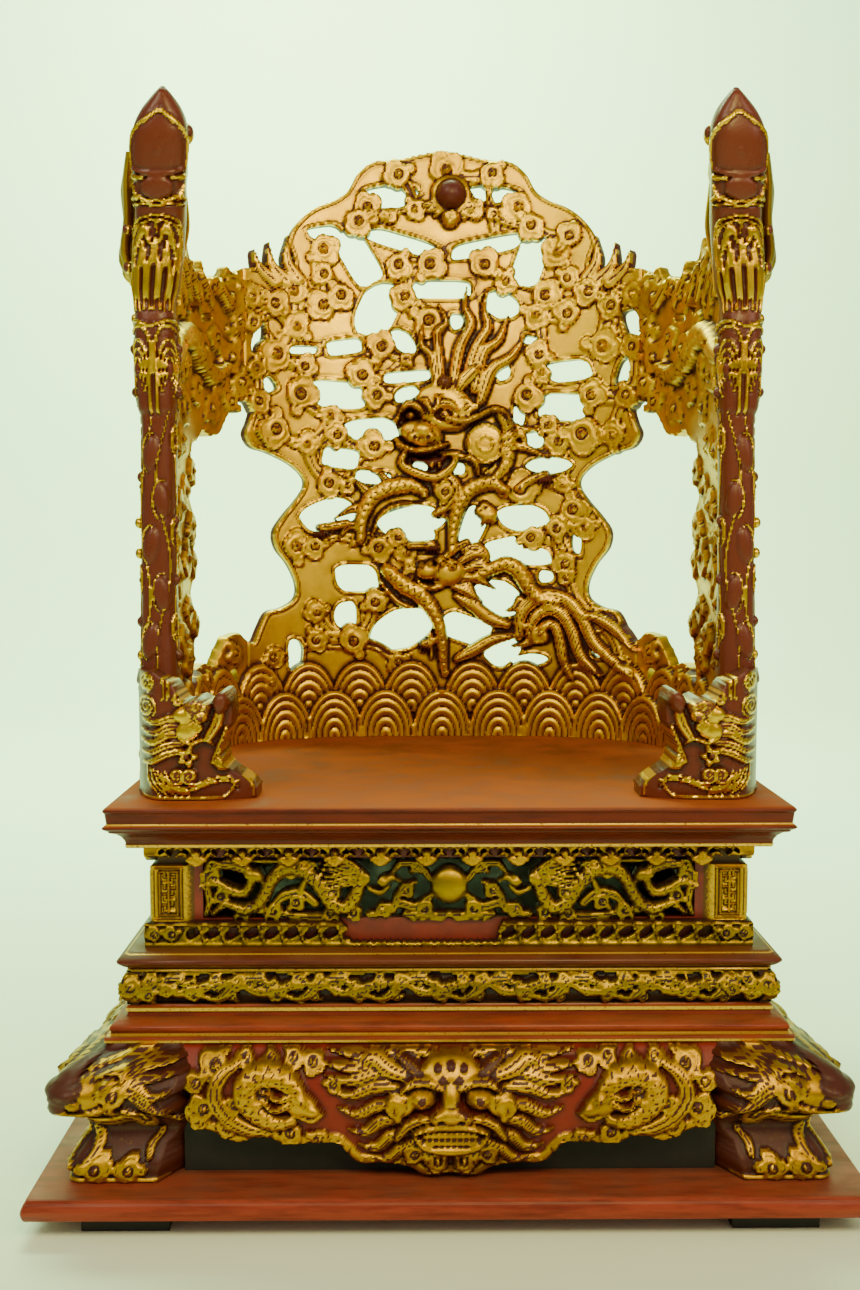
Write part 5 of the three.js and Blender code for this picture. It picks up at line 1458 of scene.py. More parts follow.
def waist_panel_mesh(half, step):
    """A pierced panel: two dragons each side of a pearl, among clouds."""
    low, high = PANEL_HEIGHTS
    middle = (low + high) / 2
    c = Carving((-half, low), (half, high), step)
    c.edge = np.maximum(2.2 - (half - np.abs(c.u)), 2.0 - np.minimum(c.v - low, high - c.v))
    part = half / PANEL_HALF
    c.boss(0, middle + 4, 20, 20, 10, 6, 0.2, 0.9)
    c.edge = np.maximum(c.edge, 20 - np.hypot(c.u, c.v - middle - 4))
    for s in (-1, 1):
        h = Half(c, s, part)

        def strip(path, widths, rise=6, level=2, **more):
            h.band(path, widths, rise, level, solid=True, **more)

        strip([(20, 330), (32, 344), (50, 346), (58, 338)], (4, 5, 5, 3), folds=2, rim=0.5)
        strip([(18, 312), (34, 300), (52, 304), (64, 296), (84, 292)], (4, 6, 6, 5, 4), folds=2, rim=0.5)
        strip([(0, 292), (20, 291), (46, 292)], (4, 5, 4), folds=2)
        # The large dragon: head by the pearl, neck, loops and tail outwards.
        strip([(92, 330), (98, 312), (108, 300), (122, 304), (134, 322), (150, 338), (170, 342), (184, 330),
               (196, 308), (212, 298), (232, 304), (246, 294)],
              (7, 8, 8, 8, 8, 8, 8, 7, 7, 6, 5, 3), 8, 4, scales=6.0)
        for k, v in enumerate((348, 342, 336, 330, 324)):
            strip([(86, 334 - k), (106, v + 1), (124, v - 3), (140, v + 1)], (3, 3.6, 3, 0.8), 5, 6, folds=2)
        h.boss(80, 332, 15, 10, 8, 6, 0, 0.7, tilt=s * -15)
        h.boss(68, 327, 8, 6, 7, 7, 0.2, 0.8)
        h.boss(80, 338, 3.4, 3, 4, 12, 1, 1, 0.8)
        strip([(62, 322), (72, 316), (84, 320)], (2, 4, 3), 5, 5)
        strip([(50, 326), (60, 332), (70, 328)], (1, 4, 5), 5, 5)
        # The small dragon outside it, and clouds that tie all together.
        strip([(204, 336), (218, 344), (236, 346), (248, 340)], (6, 7, 6, 3), 7, 4, folds=3)
        h.boss(203, 334, 11, 8, 7, 7, 0, 0.8)
        strip([(206, 326), (214, 316), (228, 318), (242, 326), (254, 322)], (5, 6, 6, 5, 4), 7, 3, scales=5.0)
        strip([(150, 350), (186, 349), (230, 350)], (2, 3, 2))
        strip([(140, 304), (154, 314), (172, 312), (186, 298)], (5, 6, 6, 4), folds=2, rim=0.4)
        strip([(156, 316), (150, 328), (144, 336)], (4, 4, 4))
        strip([(176, 294), (160, 291), (130, 290)], (4, 5, 4), folds=2)
        strip([(250, 350), (254, 330), (250, 308), (254, 292)], (3, 5, 5, 3), folds=2)
        strip([(58, 296), (54, 312), (46, 322), (36, 326)], (4, 5, 4, 3), folds=2)
        strip([(190, 320), (196, 330), (200, 338)], (3, 4, 4))
        for u, v, r in (
            (46, 318, 8), (34, 343, 7), (150, 341, 9), (168, 338, 8), (124, 294, 8), (100, 294, 7),
            (160, 305, 8), (184, 296, 8), (216, 296, 8), (238, 312, 8), (246, 344, 7), (70, 297, 8),
            (26, 298, 8), (120, 316, 6), (200, 300, 7), (246, 330, 7),
        ):
            h.cloud(u, v, r, 160, 5, True)
    c.soften(1.0)
    return c.shell(on_front(WAIST_REACH - (SIDE_CUT if part > 0.9 else 0)), -PANEL_THICKNESS)


def valance_mesh(half, wide, step):
    """The strip under the seat: hearts cut through it, and a fan under each gap."""
    top, shoulder, tip = VALANCE_HIGH[2], 356.5, 347.0
    c = Carving((-half, tip - 1), (half, top), step)
    count = int((half - 8) / LAPPET + 0.5)
    c.edge = np.minimum(c.v - shoulder, np.minimum(half - np.abs(c.u) + 1.5, top - c.v + 3))
    for k in range(-count, count):
        u = (k + 0.5) * LAPPET
        c.edge = np.maximum(c.edge, 9 * (1 - np.hypot((c.u - u) / 12.5, (c.v - 356.5) / 9.5)))
    for k in range(-count, count + 1):
        u = k * LAPPET
        if abs(u) < half - 12:
            for s in (-1, 1):
                c.opening(u + 3.6 * s, 361.2, 9, 7, s * 25, 2)
            c.opening(u, 358.8, 7, 5, 0, 2)
        for s in (-1, 1):
            c.opening(u + s * 12.5, 361, 8, 4.6, s * -30, 2)
    c.height = c.height + 1.4 * ridge(c.edge, 1.8, 1.0)
    for k in range(-count, count):
        u = (k + 0.5) * LAPPET
        for fan in range(5):
            a = math.radians(-150 + 30 * fan)
            c.band([(u, 358), (u + 9.5 * math.cos(a), 357 + 8.5 * math.sin(a))], (1.6, 3.2), 3, 2)
        c.boss(u, 360, 4.5, 4, 4, 3, 0.3, 1, 0.8)
    for k in range(-count, count + 1):
        u = k * LAPPET
        for s in (-1, 1):
            c.band([(u, 355), (u + 5 * s, 358), (u + 9.5 * s, 362), (u + 4 * s, 366.5), (u, 364)],
                   (1.2, 1.5, 1.5, 1.5, 1.0), 2.2, 1.6)
    c.soften(0.8)
    return c.shell(on_front(WAIST_OUTER - (SIDE_CUT if wide else 0)), -STRIP_THICKNESS)


def rail_mesh(half, wide, broken, step):
    """The lower rail: slanted loops between two beads, part of it lost in front."""
    low, high = RAIL_LOW[2], RAIL_HIGH[2]
    c = Carving((-half, low), (half, high), step)
    c.edge = np.minimum(np.minimum(c.v - low + 2, high - c.v + 1), half - np.abs(c.u) + 1.5)
    spacing = 20.5
    count = int((half - 44) / spacing)
    for k in range(-count, count + 1):
        c.opening(k * spacing, 275, 16, 10.5, 28, 2)
    c.height = c.height + 1.5 * ridge(c.edge, 1.6, 1.0)
    for k in range(-count, count + 1):
        u = (k + 0.5) * spacing
        c.band([(u - 4, 284), (u - 1, 276), (u + 3, 266)], (2.0, 1.2, 2.0), 2.4, 1.2)
        c.boss(k * spacing, 283.6, 4.5, 2.2, 2.5, 1, 0.3, 1, 0.5)
    for s in (-1, 1):
        for k in range(2):
            Half(c, s).cloud(half - 9 - 18 * k, 275, 7.5, 0, 1.5)
    for v in (284.6, 263.8):
        c.band([(-half, v), (0, v), (half, v)], (1.1, 1.1), 2.0, 1.0, lacquer=0.2)
    if broken:
        left, right = RAIL_BREAK
        torn = 1.8 * np.sin(0.9 * c.u) + 1.1 * np.sin(2.3 * c.u)
        lost = np.minimum(c.u - left + 0.35 * (c.v - 275), right - c.u + 0.3 * (c.v - 275))
        lost = np.minimum(lost + 0.6 * torn, c.v - 265.6 - 0.5 * torn)
        c.edge = np.minimum(c.edge, -lost)
    c.soften(0.8)
    return c.shell(on_front(WAIST_OUTER - (SIDE_CUT if wide else 0)), -STRIP_THICKNESS)


def waist_post_mesh(step):
    """A corner post with a key fret on both faces, its ends behind the rails."""
    c = Carving((-POST_SIDE, MIDDLE_HIGH[2] + 0.3), (POST_SIDE, SEAT_LOW[2] - 0.6), step)
    c.edge[:] = 30
    body = (c.v > 286.3) & (c.v < 346.7)
    c.height = np.where(body, 0.0, -9.0)
    for s in (-1, 1):
        centre = s * POST_SIDE / 2
        for half_u, low, high in ((13, 290, 343), (9.2, 294, 339)):
            for u in (centre - half_u, centre + half_u):
                c.band([(u, low), (u, 316), (u, high)], (0.9, 0.9), 1.4, 0.3, lacquer=0.15)
            for v in (low, high):
                line = [(centre - half_u, v), (centre, v), (centre + half_u, v)]
                c.band(line, (0.9, 0.9), 1.4, 0.3, lacquer=0.15)
        for k in range(7):
            v = 298 + 6 * k
            turn = 1 if k % 2 else -1
            u = centre + 4 * turn
            c.band([(centre - 6 * turn, v), (centre, v), (u, v)], (0.9, 0.9), 1.4, 0.3, lacquer=0.15)
            c.band([(u, v), (u, v + 2), (u, v + 4)], (0.9, 0.9), 1.4, 0.3)
        c.band([(centre, 296), (centre, 316), (centre, 338)], (0.8, 0.8), 1.4, 0.3)
    c.lacquer = np.where(body, np.maximum(c.lacquer, 0.45 * (c.height < 0.2)), 1.0)
    c.height = np.minimum(c.height, np.where(body, 2.0, -9.0))
    c.edge = np.full(c.u.shape, 30.0)
    c.edge = np.minimum(c.edge, np.minimum(c.v - c.v.min() + 1, c.v.max() - c.v + 1))
    return c.shell(round_corner(WAIST_POST, 1.6, POST_SIDE), -POST_SIDE)


BAND_HALF = 333.0
BAND_THICKNESS = 12.0
# Half width of the scroll band's face at a height.
BAND_FACE = [(206, 331), (212, 335), (219, 337), (230, 335), (240, 330)]


def scroll_band_mesh(half, wide, step):
    """Clouds and small dragons between the mouldings, over a dark ground."""
    low, high = LOWER_HIGH[2] + GAP, MIDDLE_LOW[2] - GAP
    c = Carving((-half, low), (half, high), step)
    c.edge[:] = 40
    c.lacquer[:] = 1.0
    c.height = c.height - 6.0
    everywhere = (slice(None), slice(None))
    pitch = 84.0
    for k in range(-5, 6):
        for s in (-1, 1):
            u = pitch * (k + 0.5) if s > 0 else pitch * k
            if abs(u) > half + 30:
                continue
            lift = 5.5 * s
            path = [(u - 46, 223 - lift), (u - 26, 216 - lift * 0.6), (u - 6, 226 + lift * 0.5),
                    (u + 16, 231 + lift * 0.3), (u + 40, 222 - lift)]
            c.band(path, (3, 5, 6.5, 5, 2.5), 6, -2, folds=3, rim=0.8)
            c.cloud(u - 8, 224 + lift, 8, 30 * k + 90 * s, 0.5, False, s)
            c.cloud(u + 12, 228 - lift, 6, 40 * k - 60, 0.0, False, -s)
            c.cloud(u + 30, 221 + lift * 1.2, 5.5, 200 + 30 * k, -0.5, False, s)
            c.cloud(u - 28, 231 - lift, 5.2, 100 + 30 * k, -0.5, False, s)
    for s in (-1, 1):
        for u, v, r in ((half - 8, 226, 11), (half - 26, 218, 8), (half - 28, 233, 7.5), (half - 46, 222, 7)):
            Half(c, s).cloud(u, v, r, 0, 1.5)
    wave = np.sin(c.u / 9.0)
    c.put(everywhere, c.v > high - 3.2 - 1.6 * wave, np.full(c.u.shape, 0.8), 0.2)
    c.put(everywhere, c.v < low + 1.6, np.full(c.u.shape, 0.4), 0.25)
    c.soften(0.0)
    face = rows_line(BAND_FACE, 1)
    flat = on_front(lambda v: face(v) - 1.5 - (SIDE_CUT if wide else 0))

    def place(u, v, w):
        x, y, z = flat(u, v, w)
        return x * (1 + (face(v) - BAND_HALF) / half * 0.5), y, z

    return c.shell(place, -BAND_THICKNESS)


# ----------------------------------------------------------------- the boards


def round_edge(w0, z0, w1, z1, out, steps=8):
    """Points of an edge that swells by out between two places."""
    t = np.linspace(0, 1, steps + 1)
    return list(zip(w0 + (w1 - w0) * t + out * np.sin(math.pi * t), z0 + (z1 - z0) * t))


def board_mesh(profile, gilt, bevel):
    """A rectangular board: a profile of (half width, height) carried round it.

    The corners are cut by a small bevel. gilt names heights with a gold line.
    """
    rows = []
    for (w0, z0), (w1, z1) in zip(profile[:-1], profile[1:]):
        count = max(1, int(min(math.hypot(w1 - w0, z1 - z0) / 0.8, 40)))
        t = np.arange(count) / count
        rows += list(zip(w0 + (w1 - w0) * t, z0 + (z1 - z0) * t))
    rows = np.array(rows + [profile[-1]])
    w, z = rows[:, 0], rows[:, 1]
    d, r = w - SIDE_CUT, bevel
    across, deep = np.outer(w - r, np.linspace(-1, 1, 9)), np.outer(d - r, np.linspace(-1, 1, 7))
    x, y = w[:, None], d[:, None]
    sides = [(across, -y), (x, deep), (-across, y), (-x, -deep)]
    ring = np.concatenate([np.stack(np.broadcast_arrays(*side), -1) for side in sides], 1)
    points = np.concatenate([ring, np.repeat(z[:, None, None], ring.shape[1], 1)], -1)
    tones = np.zeros(points.shape[:2] + (4,))
    for at, width in gilt:
        tones[..., 0] = np.maximum(tones[..., 0], (np.abs(z - at) < width)[:, None])
    # Painted shade where the profile steps in.
    sunk = np.clip((blur_row(w, 6) - w) / 3.0, 0, 1)
    tones[..., 1] = sunk[:, None]
    return skin(points, tones)


def blur_row(values, cells):
    """A running mean along one row."""
    padded = np.pad(values, cells, mode="edge")
    return np.convolve(padded, np.ones(2 * cells + 1) / (2 * cells + 1), "valid")


def plinth_profile():
    """The plinth board's edge: a soft swell with a small step above."""
    half, low, top = PLINTH_HIGH[0], PLINTH_LOW[2], PLINTH_HIGH[2]
    swell = round_edge(half - 1.8, low + 1.5, half - 2.6, top - 5, 2.0)
    return ([(half - 40, low), (half - 5.6, low)] + swell
            + [(half - 4.0, top - 3.8), (half - 5.0, top - 0.6), (half - 7, top), (half - 60, top)])


def lower_profile():
    """A flat lip, a rolled slope, then two fillets up to the scroll band."""
    return ([(300, LEG_TOP), (349.5, LEG_TOP), (351.3, 173.5), (351.3, 179), (347, 180.4)]
            + round_edge(345, 182, 339, 193, 4.5)
            + [(332, 194.4), (331, 198), (333, 199.8), (333, 203), (331, 204.4), (330, 206), (300, 206)])


def middle_profile():
    """A large half round over a fillet."""
    low, top = MIDDLE_LOW[2], MIDDLE_HIGH[2]
    return ([(300, low), (331, low), (332, low + 1.7), (331, low + 4.0)]
            + round_edge(332.4, 245, 331.5, 260, 8.8, 12) + [(329, top), (290, top)])


def seat_profile():
    """Fillet, hollow, small roll and the tall face of the seat board."""
    low, top = SEAT_LOW[2], SEAT_HIGH[2]
    return ([(300, low), (330.6, low), (331, 373), (330.5, 373.6)]
            + [(331.4, 377), (334.4, 381.6), (339, 385.4), (344.6, 387.6), (345.2, 389.4)]
            + round_edge(346.6, 390, 346.8, 396, 3.2)
            + [(346.2, 396.8), (347.4, 407.2)] + round_edge(347.8, 408, 346.6, top - 0.2, 2.0)
            + [(344, top), (200, top)])


# ------------------------------------------------------------------ finishes


def add(tree, kind, inputs=None, **settings):
    """Adds a node: settings are its properties, inputs its values or links.

    A node among the inputs stands for its first output.
    """
    made = tree.nodes.new("ShaderNode" + kind)
    for name, value in settings.items():
        setattr(made, name, value)
    for name, value in (inputs or {}).items():
        value = value.outputs[0] if isinstance(value, bpy.types.Node) else value
        if isinstance(value, bpy.types.NodeSocket):
            tree.links.new(value, made.inputs[name])
        else:
            made.inputs[name].default_value = value
    return made


def blank_material(name):
    """An empty node material with its output."""
    material = bpy.data.materials.new(name)
    material.use_nodes = True
    material.node_tree.nodes.clear()
    return material, material.node_tree


def gilded_wood(name, gold, aged_and_shaded_gold, lacquer, ground, wear=0.5, shine=0.36):
    """Gold leaf over dark red lacquer, rubbed through on the high places.

    To the eye: a broken yellow metal sheen, with painted shade in the hollows,
    where the leaf turns brown and darker, and lacquer showing on knobs, grooves
    and sides, where in the grooves it is painted shade. The leaf is in sheets
    some 80 mm wide that differ in tone, worn in patches of 26 mm and flecks of 3 mm; real flecks are finer,
    and too fine to show.
    """
    material, tree = blank_material(name)
    where = add(tree, "TexCoord").outputs["Object"]
    finish = add(tree, "Attribute", attribute_name="finish")
    crest = finish.outputs["Alpha"]
    channels = add(tree, "SeparateColor", {0: finish.outputs["Color"]})
    bare, sunk, painted = (channels.outputs[k] for k in range(3))
    patches, flecks, sheets = (
        add(tree, "TexNoise",
            {"Vector": where, "Scale": 1 / (grain * MM), "Detail": 4.0, "Roughness": 0.65}).outputs["Fac"]
        for grain in (26.0, 3.0, 80.0)
    )
    # Where the leaf is gone: the carving says, partly as wear and partly as painted shade in hollows and
    # grooves, and noise makes its edge ragged.
    rubbed = add(tree, "MapRange",
                 {"Value": patches, "From Min": 0.66 - 0.16 * wear, "From Max": 0.8, "To Max": 0.9 * wear})
    on_crest = add(tree, "Math", {0: rubbed, 1: crest, 2: bare}, operation="MULTIPLY_ADD")
    # Painted shade: the hollows lose the leaf and show the darkened colour under it.
    in_hollow = add(tree, "Math", {0: sunk, 1: 0.6, 2: on_crest}, operation="MULTIPLY_ADD")
    ragged = add(tree, "Math", {0: flecks, 1: 0.3 + 0.25 * wear, 2: in_hollow}, operation="MULTIPLY_ADD")
    lost = add(tree, "MapRange", {"Value": ragged, "From Min": 0.62, "From Max": 0.82},
               interpolation_type="SMOOTHSTEP")
    gone = add(tree, "Math", {0: lost, 1: painted}, operation="MAXIMUM")
    # The leaf darkens in the hollows as painted shade, and from sheet to sheet as a real change of tone.
    aged = add(tree, "MapRange", {"Value": sheets, "From Min": 0.4, "From Max": 0.7, "To Max": 0.6})
    tone = add(tree, "Math", {0: sunk, 1: 1.0, 2: aged}, operation="MULTIPLY_ADD",
               use_clamp=True)
    leaf = add(tree, "Mix", {0: tone, 6: gold, 7: aged_and_shaded_gold}, data_type="RGBA")
    paint = add(tree, "Mix", {0: painted, 6: lacquer, 7: ground}, data_type="RGBA")
    # Painted shade: the colour under the leaf goes near black in the hollows.
    hollow_shade = add(tree, "Math", {0: sunk, 1: 0.6}, operation="MULTIPLY")
    under = add(tree, "Mix", {0: hollow_shade, 6: paint.outputs[2], 7: srgb("#1c0c08")},
                data_type="RGBA")
    colour = add(tree, "Mix", {0: gone, 6: leaf.outputs[2], 7: under.outputs[2]},
                 data_type="RGBA")
    metal = add(tree, "MapRange", {"Value": gone, "To Min": 1.0, "To Max": 0.0})
    dull = add(tree, "MapRange", {"Value": patches, "To Min": shine - 0.08, "To Max": shine + 0.14})
    bump = add(tree, "Bump", {"Strength": 0.35, "Distance": 0.6 * MM, "Height": flecks})
    shader = add(
        tree, "BsdfPrincipled",
        {"Base Color": colour.outputs[2], "Metallic": metal, "Roughness": dull,
         "Specular IOR Level": 0.3, "Normal": bump},
    )
    add(tree, "OutputMaterial", {"Surface": shader})
    return material


def lacquered_wood(name, coat, worn, dust, gilt, shine=0.3, dusty_share=0.45):
    """Oil lacquer, brushed and rubbed, with gilded lines; dull where it faces up.

    To the eye: an even red brown with a soft gloss, darker streaks 60 mm long
    and 10 mm wide along the grain, and thin gold lines at the steps.
    """
    material, tree = blank_material(name)
    where = add(tree, "TexCoord").outputs["Object"]
    finish = add(tree, "Attribute", attribute_name="finish")
    channels = add(tree, "SeparateColor", {0: finish.outputs["Color"]})
    gilded, sunk = channels.outputs[0], channels.outputs[1]
    along = add(tree, "Mapping", {"Vector": where, "Scale": (1.0, 6.0, 9.0)})
    streaks, flecks, patches = (
        add(tree, "TexNoise",
            {"Vector": place, "Scale": 1 / (grain * MM), "Detail": 4.0, "Roughness": 0.6}).outputs["Fac"]
        for place, grain in ((along, 60.0), (where, 2.6), (where, 45.0))
    )
    streaked = add(tree, "MapRange", {"Value": streaks, "From Min": 0.42, "From Max": 0.7})
    base = add(tree, "Mix", {0: streaked, 6: coat, 7: worn}, data_type="RGBA")
    # Painted shade: the coat goes near black where the profile is sunk.
    hollow_shade = add(tree, "Math", {0: sunk, 1: 0.75}, operation="MULTIPLY")
    grooved = add(tree, "Mix", {0: hollow_shade, 6: base.outputs[2], 7: srgb("#2a100a")},
                  data_type="RGBA")
    facing = add(tree, "NewGeometry").outputs["Normal"]
    up = add(tree, "SeparateXYZ", {0: facing}).outputs["Z"]
    level = add(tree, "MapRange", {"Value": up, "From Min": 0.55, "From Max": 0.95,
                                                  "To Max": dusty_share})
    lying = add(tree, "MapRange", {"Value": patches, "From Min": 0.38 - 0.4 * dusty_share,
                                             "From Max": 0.62})
    dusty = add(tree, "Math", {0: level, 1: lying}, operation="MULTIPLY")
    coated = add(tree, "Mix", {0: dusty, 6: grooved.outputs[2], 7: dust},
                 data_type="RGBA")
    whole = add(tree, "MapRange", {"Value": flecks, "From Min": 0.3, "From Max": 0.45})
    leaf = add(tree, "Math", {0: gilded, 1: whole}, operation="MULTIPLY")
    colour = add(tree, "Mix", {0: leaf, 6: coated.outputs[2], 7: gilt},
                 data_type="RGBA")
    metal = add(tree, "Math", {0: leaf, 1: 0.7}, operation="MULTIPLY")
    dull = add(tree, "Math", {0: dusty, 1: 0.6, 2: shine}, operation="MULTIPLY_ADD")
    bump = add(tree, "Bump", {"Strength": 0.12, "Distance": 0.5 * MM, "Height": streaks})
    shader = add(
        tree, "BsdfPrincipled",
        {"Base Color": colour.outputs[2], "Metallic": metal, "Roughness": dull,
         "Specular IOR Level": 0.25, "Normal": bump},
    )
    add(tree, "OutputMaterial", {"Surface": shader})
    return material


def painted_wood(name, colour, rough, grain_mm, darker, share):
    """Brushed distemper paint: one dull colour with soft, darker patches."""
    material, tree = blank_material(name)
    where = add(tree, "TexCoord").outputs["Object"]
    patches = add(tree, "TexNoise",
                  {"Vector": where, "Scale": 1 / (grain_mm * MM), "Detail": 4.0, "Roughness": 0.6})
    amount = add(tree, "MapRange",
                 {"Value": patches.outputs["Fac"], "From Min": 0.4, "From Max": 0.75, "To Max": share})
    tint = add(tree, "Mix", {0: amount, 6: colour, 7: darker},
               data_type="RGBA")
    shader = add(tree, "BsdfPrincipled", {"Base Color": tint.outputs[2], "Roughness": rough})
    add(tree, "OutputMaterial", {"Surface": shader})
    return material


# -------------------------------------------------------------- the settings


class ThroneSettings(bpy.types.PropertyGroup):
    """Sizes and colours of the carving that a user would change."""

    screen_step: bpy.props.FloatProperty(
        name="Screen grid", description="Spacing of the screen's carved points",
        default=2.2 * MM, min=1.5 * MM, max=10 * MM, unit="LENGTH", precision=4)
    arm_step: bpy.props.FloatProperty(
        name="Arm grid", description="Spacing of the arms' carved points",
        default=3.0 * MM, min=1.5 * MM, max=10 * MM, unit="LENGTH", precision=4)
    post_step: bpy.props.FloatProperty(
        name="Post grid", description="Spacing of the posts' carved points",
        default=1.8 * MM, min=1.2 * MM, max=10 * MM, unit="LENGTH", precision=4)
    base_step: bpy.props.FloatProperty(
        name="Base grid", description="Spacing of the carved points of legs and aprons",
        default=2.0 * MM, min=1.2 * MM, max=10 * MM, unit="LENGTH", precision=4)
    waist_step: bpy.props.FloatProperty(
        name="Waist grid", description="Spacing of the carved points of the waist",
        default=1.75 * MM, min=1.0 * MM, max=10 * MM, unit="LENGTH", precision=4)
    gold: bpy.props.FloatVectorProperty(
        name="Gold leaf", description="Colour of the clean gold leaf",
        # The leaf's colour in the hollows, as painted shade; the darker sheets take it too.
        default=srgb("#eebb0c"), min=0, max=1, size=4, subtype="COLOR")
    aged_and_shaded_gold: bpy.props.FloatVectorProperty(
        name="Aged and shaded leaf", description="Colour of the leaf in the hollows",
        default=srgb("#8a5a04"), min=0, max=1, size=4, subtype="COLOR")
    maroon: bpy.props.FloatVectorProperty(
        name="Under-lacquer", description="Lacquer under the leaf",
        default=srgb("#5a2218"), min=0, max=1, size=4, subtype="COLOR")
    red: bpy.props.FloatVectorProperty(
        name="Red lacquer", description="Lacquer of the mouldings",
        default=srgb("#8c3214"), min=0, max=1, size=4, subtype="COLOR")


def settings():
    """The scene's throne settings."""
    return bpy.context.scene.throne


def finish(name):
    """A finish of the throne by its name, made once, with its colours and measures."""
    s = settings()
    line_gold = "#e0b038"
    kinds = {
        # Warm, clean gold of the screen and arms.
        "gold_leaf_on_maroon_lacquer": (gilded_wood, s.gold, s.aged_and_shaded_gold, s.maroon, "#7c2416"),
        # Gilding of the legs, aprons and valances: more worn, with red ground.
        "worn_gilding_on_red_lacquer": (
            gilded_wood, "#cc980a", "#5a3a06", "#48190e", "#7a1e0e", 0.8, 0.38),
        # Gilding of the waist: greenish with age, over near black.
        "smoked_gilding_on_black_brown": (
            gilded_wood, "#ab8710", "#453206", "#32140c", "#32100c", 0.7, 0.38),
        # Bright leaf of the fret posts.
        "bright_gilding_on_fret": (gilded_wood, "#dcae18", "#8f6a0c", "#5a3a10", "#5a3a10", 0.4, 0.4),
        # Deep, glossy red-brown lacquer of the posts with gilded lines.
        "gilded_lines_on_glossy_lacquer": (
            gilded_wood, "#e6b60e", "#94660c", "#602817", "#602817", 0.3, 0.27),
        # Lacquer of the rolled mouldings, and the darker one of the middle roll.
        "orange_red_lacquer": (lacquered_wood, s.red, "#661f10", "#74502c", "#d0a030"),
        "dark_maroon_lacquer": (lacquered_wood, "#5e2410", "#4a180c", "#74502c", line_gold, 0.28),
        # Lacquer of the plinth board, more worn than the mouldings.
        "worn_red_lacquer": (lacquered_wood, "#8e3622", "#6a2216", "#6e4a38", "#c79a30", 0.34),
        # Lacquer of the seat: orange brown, rubbed and dusty on top.
        "orange_brown_lacquer": (
            lacquered_wood, "#621a08", "#4a1206", "#9c4a14", line_gold, 0.32, 0.95),
        # Dull paint of the waist frames, and of the risers and plinth blocks.
        "dull_red_paint": (painted_wood, "#7a2416", 0.45, 30.0, "#2c0f0a", 0.6),
        "black_brown_paint": (painted_wood, "#1d1a14", 0.7, 30.0, "#0b0a08", 0.6),
    }
    make, *values = kinds[name]
    values = [srgb(value) if isinstance(value, str) else value for value in values]
    return bpy.data.materials.get(name) or make(name, *values)


class THRONE_OT_screen(bpy.types.Operator):
    """Carves the pierced back screen."""

    bl_idname = "throne.screen"
    bl_label = "Back screen"

    def execute(self, context):
        leaf = finish("gold_leaf_on_maroon_lacquer")
        mesh = screen_mesh(settings().screen_step / MM)
        make_piece("carved_screen", mesh, leaf, ["back_screen"])
        return {"FINISHED"}


class THRONE_OT_arms(bpy.types.Operator):
    """Carves the two arms, the left as the right one's mirror image."""

    bl_idname = "throne.arms"
    bl_label = "Arms"

    def execute(self, context):
        leaf = finish("gold_leaf_on_maroon_lacquer")
        mesh = arm_mesh(settings().arm_step / MM)
        make_piece("carved_arm_right", mesh, leaf, ["arm_right"])
        make_piece("carved_arm_left", flipped_mesh(mesh), leaf, ["arm_left"])
        return {"FINISHED"}


class THRONE_OT_posts(bpy.types.Operator):
    """Makes the lacquered posts with a dragon's head and a beast's foot."""

    bl_idname = "throne.posts"
    bl_label = "Posts"

    def execute(self, context):
        gloss = finish("gilded_lines_on_glossy_lacquer")
        mesh = post_mesh(settings().post_step / MM)
        make_piece("dragon_post_left", mesh, gloss, ["post_left"])
        make_piece("dragon_post_right", flipped_mesh(mesh), gloss, ["post_right"])
        return {"FINISHED"}


class THRONE_OT_legs(bpy.types.Operator):
    """Carves the four beast legs."""

    bl_idname = "throne.legs"
    bl_label = "Legs"

    def execute(self, context):
        worn = finish("worn_gilding_on_red_lacquer")
        make_corners("beast_leg_", "leg_", worn, leg_mesh(settings().base_step / MM))
        return {"FINISHED"}


class THRONE_OT_aprons(bpy.types.Operator):
    """Carves the four aprons between the legs."""

    bl_idname = "throne.aprons"
    bl_label = "Aprons"

    def execute(self, context):
        wide = apron_mesh(APRON_HALF, settings().base_step / MM)
        narrow = apron_mesh(APRON_HALF - SIDE_CUT, 1.25 * settings().base_step / MM)
        make_sides("lion_apron_", "apron_", finish("worn_gilding_on_red_lacquer"), wide, narrow)
        return {"FINISHED"}


class THRONE_OT_waist(bpy.types.Operator):
    """Carves the pierced waist: panels, valances, rails and fret posts."""

    bl_idname = "throne.waist"
    bl_label = "Waist"

    def execute(self, context):
        step = settings().waist_step / MM
        side_half = WAIST_OUTER - STRIP_THICKNESS - SIDE_CUT - GAP
        smoked = finish("smoked_gilding_on_black_brown")
        panels = (waist_panel_mesh(half, step) for half in (PANEL_HALF, PANEL_HALF - SIDE_CUT))
        make_sides("dragon_panel_", "waist_panel_", smoked, *panels)
        worn = finish("worn_gilding_on_red_lacquer")
        valances = valance_mesh(WAIST_OUTER, True, step), valance_mesh(side_half, False, step)
        make_sides("heart_valance_", "valance_", worn, *valances)
        rails = (rail_mesh(WAIST_OUTER, True, False, step), rail_mesh(side_half, False, False, step),
                 rail_mesh(WAIST_OUTER, True, True, step))
        make_sides("looped_rail_", "lower_rail_", smoked, *rails)
        make_corners("fret_post_", "waist_post_", finish("bright_gilding_on_fret"),
                     waist_post_mesh(FRET_STEP))
        return {"FINISHED"}


class THRONE_OT_band(bpy.types.Operator):
    """Carves the scroll band between the two lower mouldings."""

    bl_idname = "throne.band"
    bl_label = "Scroll band"

    def execute(self, context):
        step = settings().waist_step / MM
        wide = scroll_band_mesh(BAND_HALF, True, step)
        narrow = scroll_band_mesh(BAND_HALF - SIDE_CUT, False, 1.2 * step)
        make_sides("cloud_band_", "scroll_band_", finish("smoked_gilding_on_black_brown"), wide, narrow)
        return {"FINISHED"}


